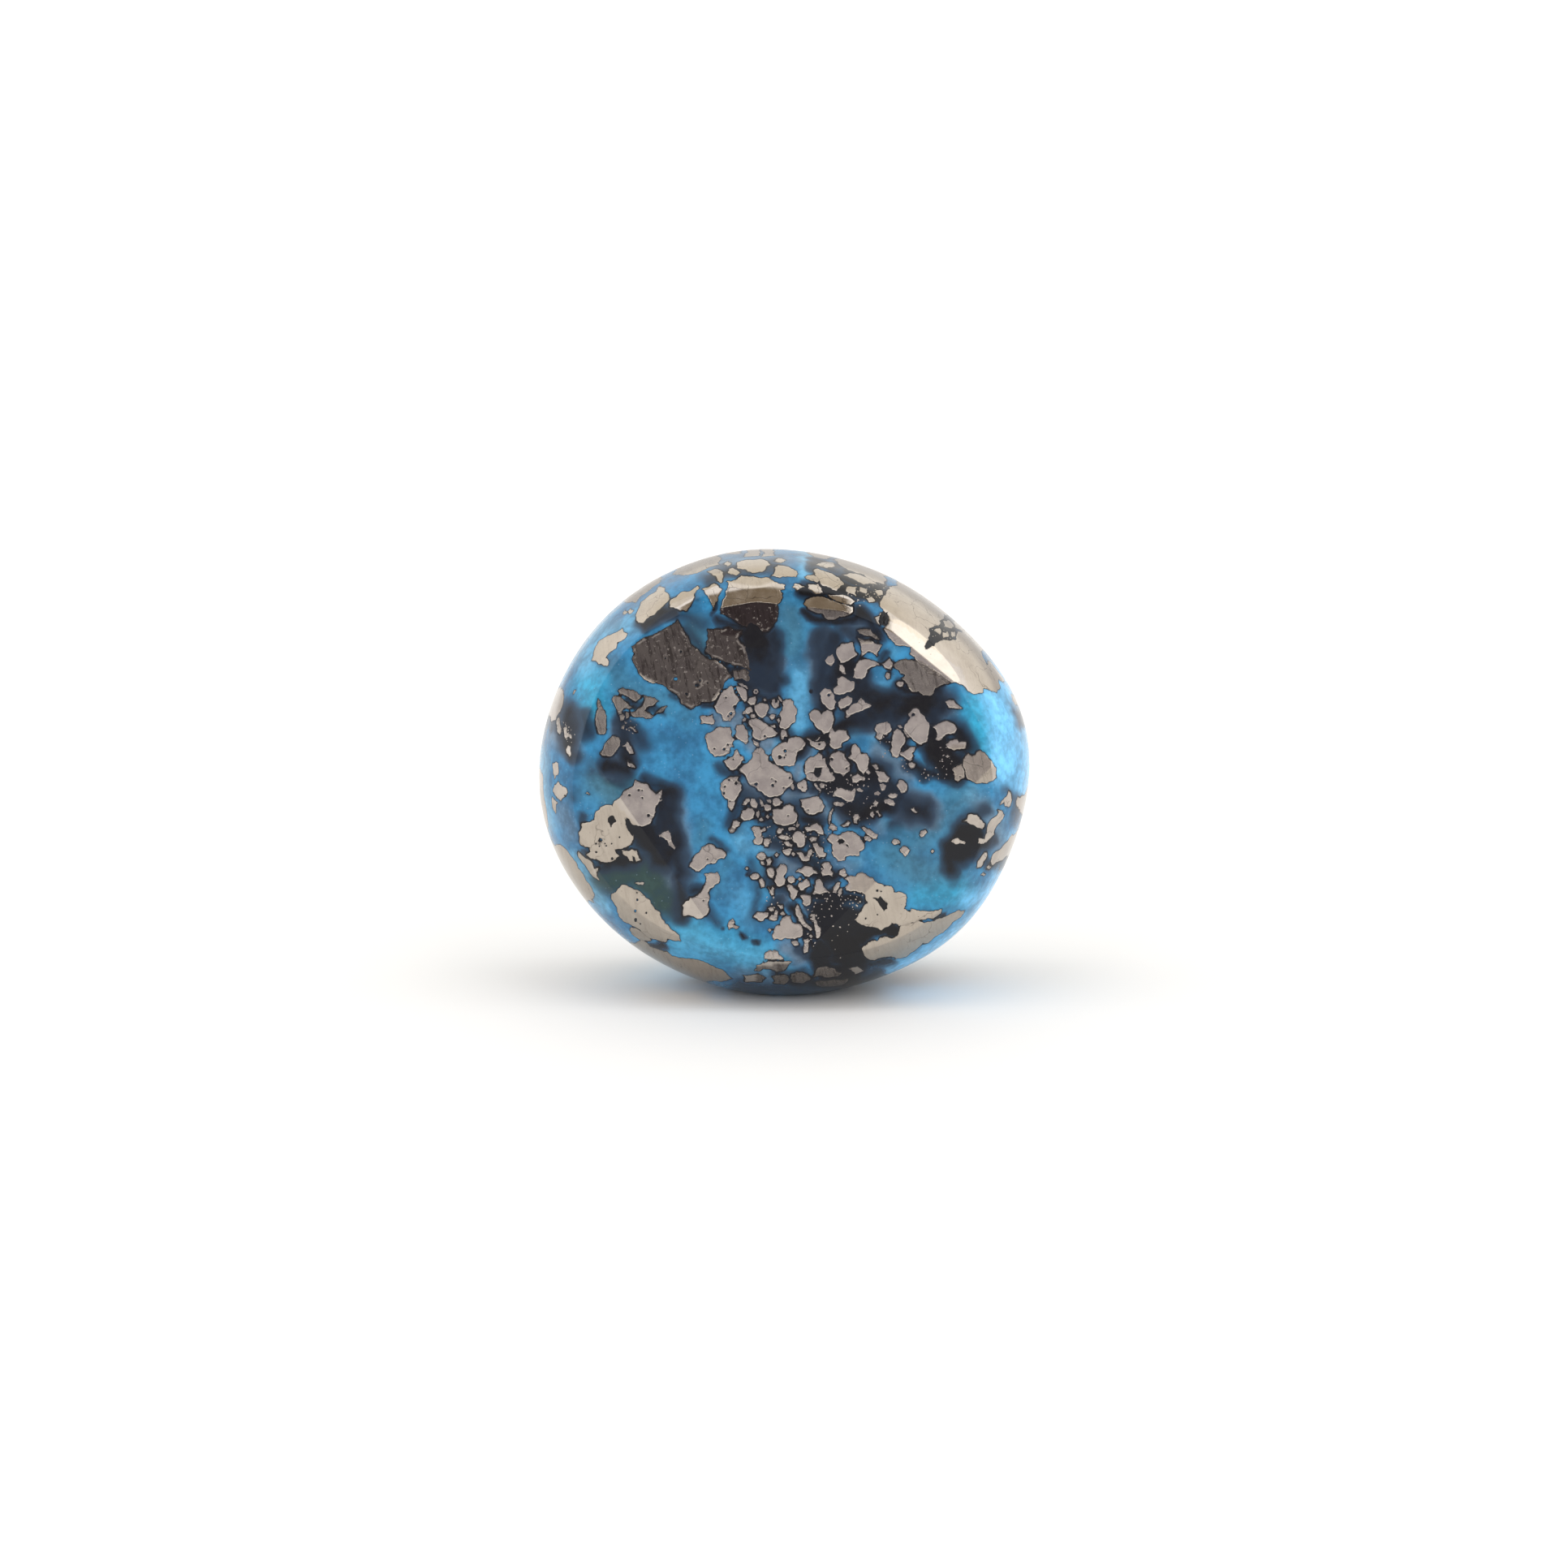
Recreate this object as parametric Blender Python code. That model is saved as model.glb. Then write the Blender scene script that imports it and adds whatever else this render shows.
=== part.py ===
"""A polished turquoise nugget with pyrite grown through it, standing on a small ground flat.

The stone is one solid. A rounded pebble with an uneven outline is ground flat, plane by plane:
a broad main face in front, a ring of narrow flats round that face, a flat back with its own
ring, and the small flat underneath that the stone stands on.

Axes: +X to the right, +Z up, and the main face looks along -Y. The origin is the middle of the
box's base. Lengths are in metres, and names ending in MM are in millimetres.
"""

import math
from collections import namedtuple

import bmesh
import bpy
import numpy as np
from mathutils import Vector

MM = 0.001

# The outline seen from the front: its radius every 20 degrees, from +X towards +Z.
OUTLINE_RADII_MM = (
    10.98, 10.82, 10.22, 9.91, 9.83, 10.02, 10.26, 10.55, 10.76,
    10.93, 10.76, 10.39, 10.08, 9.98, 9.99, 10.20, 10.60, 10.73,
)
CENTRE_HEIGHT_MM = 9.68

# The pebble before grinding. A fullness of 2 is an ellipse, and more is squarer.
FRONT_DEPTH_MM = 7.7
BACK_DEPTH_MM = 7.6
FULLNESS = 2.5
BALL_SUBDIVISIONS = 5

# The two broad faces: how far each lies from the girdle, and how far it leans from upright.
MAIN_FACE_DEPTH_MM = 5.3
MAIN_FACE_LEAN = math.radians(6.0)
BACK_FACE_DEPTH_MM = 5.7
BACK_FACE_LEAN = math.radians(0.0)

# A flat of a ring: bearing is the way that it slopes, from +X towards +Z, reach is the distance
# from the middle of the face to the edge where it begins, and tilt is its angle from that face.
Flat = namedtuple("Flat", "bearing_deg reach_mm tilt_deg")

FRONT_FLATS = (
    Flat(84, 8.08, 24),
    Flat(100, 8.34, 25),
    Flat(118, 8.92, 30),
    Flat(143, 9.45, 34),
    Flat(161, 9.30, 36),
    Flat(176, 9.18, 38),
    Flat(215, 6.00, 9),
    Flat(224, 7.75, 17),
    Flat(247, 8.10, 27),
    Flat(271, 7.45, 24),
    Flat(301, 7.85, 17),
    Flat(315, 5.65, 9),
    Flat(338, 8.95, 30),
    Flat(9, 9.30, 36),
    Flat(30, 8.92, 33),
    Flat(44, 9.20, 46),
    Flat(51, 8.40, 28),
    Flat(67, 8.26, 25),
    # Above the top three of them the edge is eased in two steps
    Flat(66, 8.50, 38),
    Flat(84, 8.35, 38),
    Flat(100, 8.61, 39),
    Flat(75, 8.64, 52),
    Flat(93, 8.69, 52),
    Flat(110, 8.98, 52),
)
BACK_FLATS = (
    Flat(20, 7.6, 22),
    Flat(62, 7.9, 31),
    Flat(104, 7.0, 18),
    Flat(150, 8.3, 29),
    Flat(196, 7.2, 20),
    Flat(238, 8.0, 33),
    Flat(283, 7.1, 24),
    Flat(330, 8.2, 27),
)

# Points closer than this after grinding become one, so that no sliver is left.
WELD = 0.02 * MM

TURQUOISE_COLOUR = (0.09, 0.33, 0.52, 1.0)
TURQUOISE_ROUGHNESS = 0.2


def outline_radius(bearing):
    """The outline's radius at these bearings, as the smoothest closed curve through the radii."""
    waves = np.fft.rfft(OUTLINE_RADII_MM) / len(OUTLINE_RADII_MM)
    radius = np.full_like(bearing, waves[0].real)
    for turns, wave in enumerate(waves[1:-1], start=1):
        radius += 2.0 * (wave * np.exp(1j * turns * bearing)).real
    radius += waves[-1].real * np.cos((len(waves) - 1) * bearing)
    return radius * MM


def pebble():
    """The rounded stone before grinding, as a bmesh: a ball with its points moved outwards."""
    stone = bmesh.new()
    bmesh.ops.create_icosphere(stone, subdivisions=BALL_SUBDIVISIONS, radius=1.0)
    ball = np.array([vertex.co for vertex in stone.verts])
    bearing = np.arctan2(ball[:, 2], ball[:, 0])
    girdle = outline_radius(bearing)
    across = np.hypot(ball[:, 0], ball[:, 2]) ** (2.0 / FULLNESS) * girdle
    depth = np.where(ball[:, 1] < 0.0, FRONT_DEPTH_MM, BACK_DEPTH_MM) * MM
    along = np.sign(ball[:, 1]) * np.abs(ball[:, 1]) ** (2.0 / FULLNESS) * depth
    height = across * np.sin(bearing) + CENTRE_HEIGHT_MM * MM
    for vertex, place in zip(stone.verts, zip(across * np.cos(bearing), along, height)):
        vertex.co = place
    return stone


def grind(stone, point, outward):
    """Cuts away everything beyond the plane through point and closes the cut with one flat face."""
    everything = stone.verts[:] + stone.edges[:] + stone.faces[:]
    cut = bmesh.ops.bisect_plane(
        stone, geom=everything, dist=WELD / 10.0, plane_co=point, plane_no=outward, clear_outer=True
    )
    rim = [item for item in cut["geom_cut"] if isinstance(item, bmesh.types.BMEdge)]
    if rim:
        bmesh.ops.edgeloop_fill(stone, edges=rim)


def face_plane(side, depth_mm, lean):
    """A point and the outward normal of a broad face. side is -1 in front and 1 behind."""
    middle = Vector((0.0, side * depth_mm * MM, CENTRE_HEIGHT_MM * MM))
    return middle, Vector((0.0, side * math.cos(lean), math.sin(lean)))


def flat_plane(side, depth_mm, lean, flat):
    """A point and the outward normal of one flat of the ring round a broad face."""
    bearing, tilt = math.radians(flat.bearing_deg), math.radians(flat.tilt_deg)
    middle, _ = face_plane(side, depth_mm, lean)
    away = Vector((math.cos(bearing), 0.0, math.sin(bearing)))
    edge = middle + away * flat.reach_mm * MM
    edge.y -= side * math.tan(lean) * away.z * flat.reach_mm * MM
    outward = away * math.tan(tilt) + Vector((0.0, side, math.tan(lean)))
    return edge, outward.normalized()


def grind_side(stone, side, depth_mm, lean, flats):
    """Grinds a broad face and the ring of flats round it."""
    grind(stone, *face_plane(side, depth_mm, lean))
    for flat in flats:
        grind(stone, *flat_plane(side, depth_mm, lean, flat))


def put_origin_under_middle(stone):
    """Moves the stone sideways so that the origin is the middle of its base."""
    places = np.array([vertex.co for vertex in stone.verts])
    middle = (places.min(axis=0) + places.max(axis=0)) / 2.0
    bmesh.ops.translate(stone, verts=stone.verts, vec=(-middle[0], -middle[1], 0.0))


def turquoise_material():
    """The finish of the whole stone in this plain model."""
    material = bpy.data.materials.new("turquoise_with_pyrite")
    material.use_nodes = True
    shader = material.node_tree.nodes["Principled BSDF"]
    shader.inputs["Base Color"].default_value = TURQUOISE_COLOUR
    shader.inputs["Roughness"].default_value = TURQUOISE_ROUGHNESS
    shader.inputs["Metallic"].default_value = 0.0
    return material


def make_stone():
    """The finished stone as one object."""
    stone = pebble()
    grind_side(stone, -1.0, MAIN_FACE_DEPTH_MM, MAIN_FACE_LEAN, FRONT_FLATS)
    grind_side(stone, 1.0, BACK_FACE_DEPTH_MM, BACK_FACE_LEAN, BACK_FLATS)
    grind(stone, Vector((0.0, 0.0, 0.0)), Vector((0.0, 0.0, -1.0)))
    bmesh.ops.remove_doubles(stone, verts=stone.verts, dist=WELD)
    bmesh.ops.dissolve_degenerate(stone, edges=stone.edges, dist=WELD / 10.0)
    bmesh.ops.recalc_face_normals(stone, faces=stone.faces)
    put_origin_under_middle(stone)
    mesh = bpy.data.meshes.new("turquoise_nugget")
    stone.to_mesh(mesh)
    stone.free()
    mesh.materials.append(turquoise_material())
    mesh.shade_smooth()
    mesh.set_sharp_from_angle(angle=math.radians(6.0))
    nugget = bpy.data.objects.new("turquoise_nugget", mesh)
    bpy.context.scene.collection.objects.link(nugget)
    return nugget


def main():
    for leftover in list(bpy.data.objects):
        bpy.data.objects.remove(leftover, do_unlink=True)
    make_stone()


if __name__ == "__main__":
    main()
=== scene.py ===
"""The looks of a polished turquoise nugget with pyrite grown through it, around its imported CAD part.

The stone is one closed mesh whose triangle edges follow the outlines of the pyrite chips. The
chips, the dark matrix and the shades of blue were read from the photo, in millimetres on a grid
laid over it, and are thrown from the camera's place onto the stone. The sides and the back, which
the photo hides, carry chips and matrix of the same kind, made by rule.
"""

import math
from collections import namedtuple

import bpy
import numpy as np
from bpy.props import FloatProperty, FloatVectorProperty, IntProperty, PointerProperty
from mathutils import Matrix, Vector, geometry, kdtree


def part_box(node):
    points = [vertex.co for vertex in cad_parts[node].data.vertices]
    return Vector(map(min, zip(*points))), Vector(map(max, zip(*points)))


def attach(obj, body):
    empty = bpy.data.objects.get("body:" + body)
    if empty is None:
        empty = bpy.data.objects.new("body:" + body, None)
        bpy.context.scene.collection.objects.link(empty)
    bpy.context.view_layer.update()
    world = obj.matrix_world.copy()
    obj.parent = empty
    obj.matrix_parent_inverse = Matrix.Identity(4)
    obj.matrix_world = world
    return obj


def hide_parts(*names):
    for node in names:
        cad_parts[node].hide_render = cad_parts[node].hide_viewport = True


bl_info = {
    "name": "Polished turquoise nugget",
    "version": (1, 0, 0),
    "blender": (4, 5, 0),
    "location": "3D View > Sidebar > Turquoise",
    "description": "Builds a polished turquoise nugget with matrix and pyrite, and its stage",
    "category": "Add Mesh",
}

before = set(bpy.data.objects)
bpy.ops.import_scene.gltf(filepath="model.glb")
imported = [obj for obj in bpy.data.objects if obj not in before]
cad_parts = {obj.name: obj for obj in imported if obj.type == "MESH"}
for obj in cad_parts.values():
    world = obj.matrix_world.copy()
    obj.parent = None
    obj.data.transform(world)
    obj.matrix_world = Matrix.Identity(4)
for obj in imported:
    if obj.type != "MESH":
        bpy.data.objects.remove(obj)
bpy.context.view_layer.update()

MM = 0.001
STONE_NODE = "turquoise_nugget"
STONE_BOX_MM = [np.array(corner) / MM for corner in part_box(STONE_NODE)]

# The shape, with the CAD part's own numbers
OUTLINE_RADII_MM = (
    10.98, 10.82, 10.22, 9.91, 9.83, 10.02, 10.26, 10.55, 10.76,
    10.93, 10.76, 10.39, 10.08, 9.98, 9.99, 10.20, 10.60, 10.73,
)
CENTRE_HEIGHT_MM = 9.68
FRONT_DEPTH_MM = 7.7
BACK_DEPTH_MM = 7.6
FULLNESS = 2.5
MAIN_FACE_DEPTH_MM = 5.3
MAIN_FACE_LEAN = math.radians(6.0)
BACK_FACE_DEPTH_MM = 5.7
BACK_FACE_LEAN = math.radians(0.0)
Flat = namedtuple("Flat", "bearing_deg reach_mm tilt_deg")
FRONT_FLATS = (
    Flat(84, 8.08, 24),
    Flat(100, 8.34, 25),
    Flat(118, 8.92, 30),
    Flat(143, 9.45, 34),
    Flat(161, 9.30, 36),
    Flat(176, 9.18, 38),
    Flat(215, 6.00, 9),
    Flat(224, 7.75, 17),
    Flat(247, 8.10, 27),
    Flat(271, 7.45, 24),
    Flat(301, 7.85, 17),
    Flat(315, 5.65, 9),
    Flat(338, 8.95, 30),
    Flat(9, 9.30, 36),
    Flat(30, 8.92, 33),
    Flat(44, 9.20, 46),
    Flat(51, 8.40, 28),
    Flat(67, 8.26, 25),
    # Above the top three of them the edge is eased in two steps
    Flat(66, 8.50, 38),
    Flat(84, 8.35, 38),
    Flat(100, 8.61, 39),
    Flat(75, 8.64, 52),
    Flat(93, 8.69, 52),
    Flat(110, 8.98, 52),
)
BACK_FLATS = (
    Flat(20, 7.6, 22),
    Flat(62, 7.9, 31),
    Flat(104, 7.0, 18),
    Flat(150, 8.3, 29),
    Flat(196, 7.2, 20),
    Flat(238, 8.0, 33),
    Flat(283, 7.1, 24),
    Flat(330, 8.2, 27),
)

# The seam between the front and back halves of the mesh, as an angle from the front of the ball
SEAM_ANGLE = math.radians(106.0)
SEAM_POINTS = 420
# The charts are laid out for a round pebble with this share of the outline's first radius
CHART_RADIUS_SHARE = 0.97
CHART_STEPS = 4001

# The slight swell that hand polishing leaves, and how sharp the edges of the broad faces are
SWELL_SEED = 11
SWELL_WAVES = 14
SWELL_LENGTHS_MM = (3.5, 8.0)
SWELL_HEIGHT_MM = 0.0012
BROAD_EDGE_MM = 0.02
BASE_EDGE_MM = 0.04

# Beside the edges between flats the grid of points is finer: how many times, and how near in mm
FINER_GRIDS = ((2.0, 0.16), (3.6, 0.08))
# The back's grid is coarser than the front's by this much
BACK_COARSENESS = 1.7
# The longest side of a chip's outline in mm: on the front, on the hidden sides and on the back
LONGEST_FRONT_MM = 0.065
LONGEST_SIDE_MM = 0.13
LONGEST_BACK_MM = 0.15

# The camera, on a picture plane through the stone's middle: lengths there are in real millimetres
CAMERA_ELEVATION = math.radians(10.0)
CAMERA_DISTANCE_MM = 195.1
CAMERA_LENS_MM = 100.0
CAMERA_SENSOR_MM = 36.0
PICTURE_CENTRE_MM = (0.018, 9.47)
# The point of the picture plane where the stone's middle falls
STONE_IN_PICTURE_MM = (0.03, 10.0)

Stroke = namedtuple("Stroke", "points radius blur strength", defaults=(1.0,))
# An area of pyrite that is darkened, partly as dull metal and partly as painted dark reflection, and by
# how much
DarkenedArea = namedtuple("DarkenedArea", "outline dullness")


def vec(text):
    """The points of one outline or stroke, as an array of pairs."""
    return np.array([[float(number) for number in pair.split(",")] for pair in text.split()])


def outlines(text):
    """Outlines from a text in which each ends with a semicolon."""
    return [vec(row) for row in text.strip().rstrip(";").split(";")]


def table(text, kind):
    """Tuples from a text of rows, each with its numbers, a colon, its points and a semicolon."""
    made = []
    for row in text.strip().rstrip(";").split(";"):
        numbers, points = row.split(":")
        made.append(kind(vec(points), *[float(number) for number in numbers.split()]))
    return made


# Outlines of the pyrite chips, as x,z pairs on the picture plane
DARK_PLATES = outlines("""
-4.75,16.79 -4.42,16.21 -4.06,15.64 -3.7,15.28 -3.2,15.03 -2.48,14.48 -2.3,14.27 -2.84,13.62 -3.27,13.16
-3.7,13.16 -3.85,12.97 -4.17,12.83 -4.6,13.12 -4.78,13.51 -5.64,13.98 -6.5,14.45 -6.78,15.05 -6.65,15.3
-6.8,15.64 -6.3,16.0 -5.64,16.25 -5.21,16.5;
-3.4,16.4 -2.9,16.42 -2.5,16.5 -1.85,16.37 -1.85,16.2 -2.05,16.0 -1.85,15.75 -1.7,15.5 -1.6,15.15
-1.55,14.85 -1.45,14.55 -1.7,14.65 -2.3,14.8 -2.8,15.02 -3.2,15.1 -3.35,15.3 -3.5,15.4 -3.45,15.8;
-2.25,14.55 -1.75,14.65 -1.55,14.5 -1.5,14.15 -1.65,14.05 -1.85,14.2 -2.2,14.1;
4.9,14.8 5.1,14.95 5.5,15.05 6.0,14.95 6.6,14.6 7.45,14.02 7.14,13.92 6.78,13.75 6.73,13.54 6.53,13.42
6.25,13.44 6.03,13.64 5.82,13.59 5.5,14.0 5.3,14.2 5.45,14.35 5.1,14.6;
""")
# How dark each of the dark plates is made: partly dull, scratched metal and partly painted dark reflection
# in the flat main face
PLATE_DARKENING = (0.86, 0.9, 0.75, 0.6)
# Parts of other chips on the main face that are darkened, partly as dull metal and partly as painted dark
# reflection: how much, then the outline of the area
DARKENED_ON_FACE = table("""
1.0: -3.05,17.9 -0.2,17.9 -0.2,15.9 -2.95,16.25;
0.72: 0.9,17.5 3.3,17.5 3.3,16.6 0.9,16.6;
0.6: 3.2,16.5 4.4,16.5 4.4,15.9 3.2,15.9;
0.5: -8.6,13.9 -5.1,13.9 -5.1,12.3 -7.2,12.0 -7.2,10.5 -8.6,10.5;
0.24: 7.5,11.2 9.8,11.2 9.8,9.4 7.5,9.4;
""", DarkenedArea)
# The same round the rim, where the darkening is partly dull metal and partly painted dark reflection;
# along the foot it also stands for painted shade, where the underside mirrors the shadow on the floor
DARKENED_AT_RIM = table("""
0.22: -7.0,3.0 -2.0,1.5 -2.0,0.0 -7.5,0.0;
0.13: -8.3,5.6 -5.5,4.6 -4.3,2.3 -6.8,1.9 -8.9,4.5;
0.13: -9.6,8.2 -7.9,8.9 -6.6,7.6 -6.6,6.0 -9.3,5.8;
0.08: 3.0,5.6 6.6,5.6 7.2,3.9 5.0,2.9 3.0,3.0;
0.18: -11.5,9.9 -9.0,7.0 -8.2,4.0 -10,3 -12,7;
0.12: 3.4,2.5 4.6,2.9 8.3,4.1 8.6,3.0 5.0,1.3 3.3,1.5;
0.62: -1.2,1.3 3.0,1.5 3.0,0.0 -1.2,0.0;
0.25: -7.5,19.0 -2.8,20.5 -2.8,19.0 -5.6,18.3 -6.8,17.3;
0.08: -10.0,17.0 -6.0,19.5 0.0,21.0 4.0,21.0 4.5,18.4 0.0,18.0 -3.0,18.4 -5.0,17.6 -7.0,14.0 -9.5,14.0;
0.08: 4.2,19.5 11.0,17.5 11.0,13.0 8.6,13.0 8.0,14.6 5.6,16.4 4.0,17.2;
""", DarkenedArea)
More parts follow.
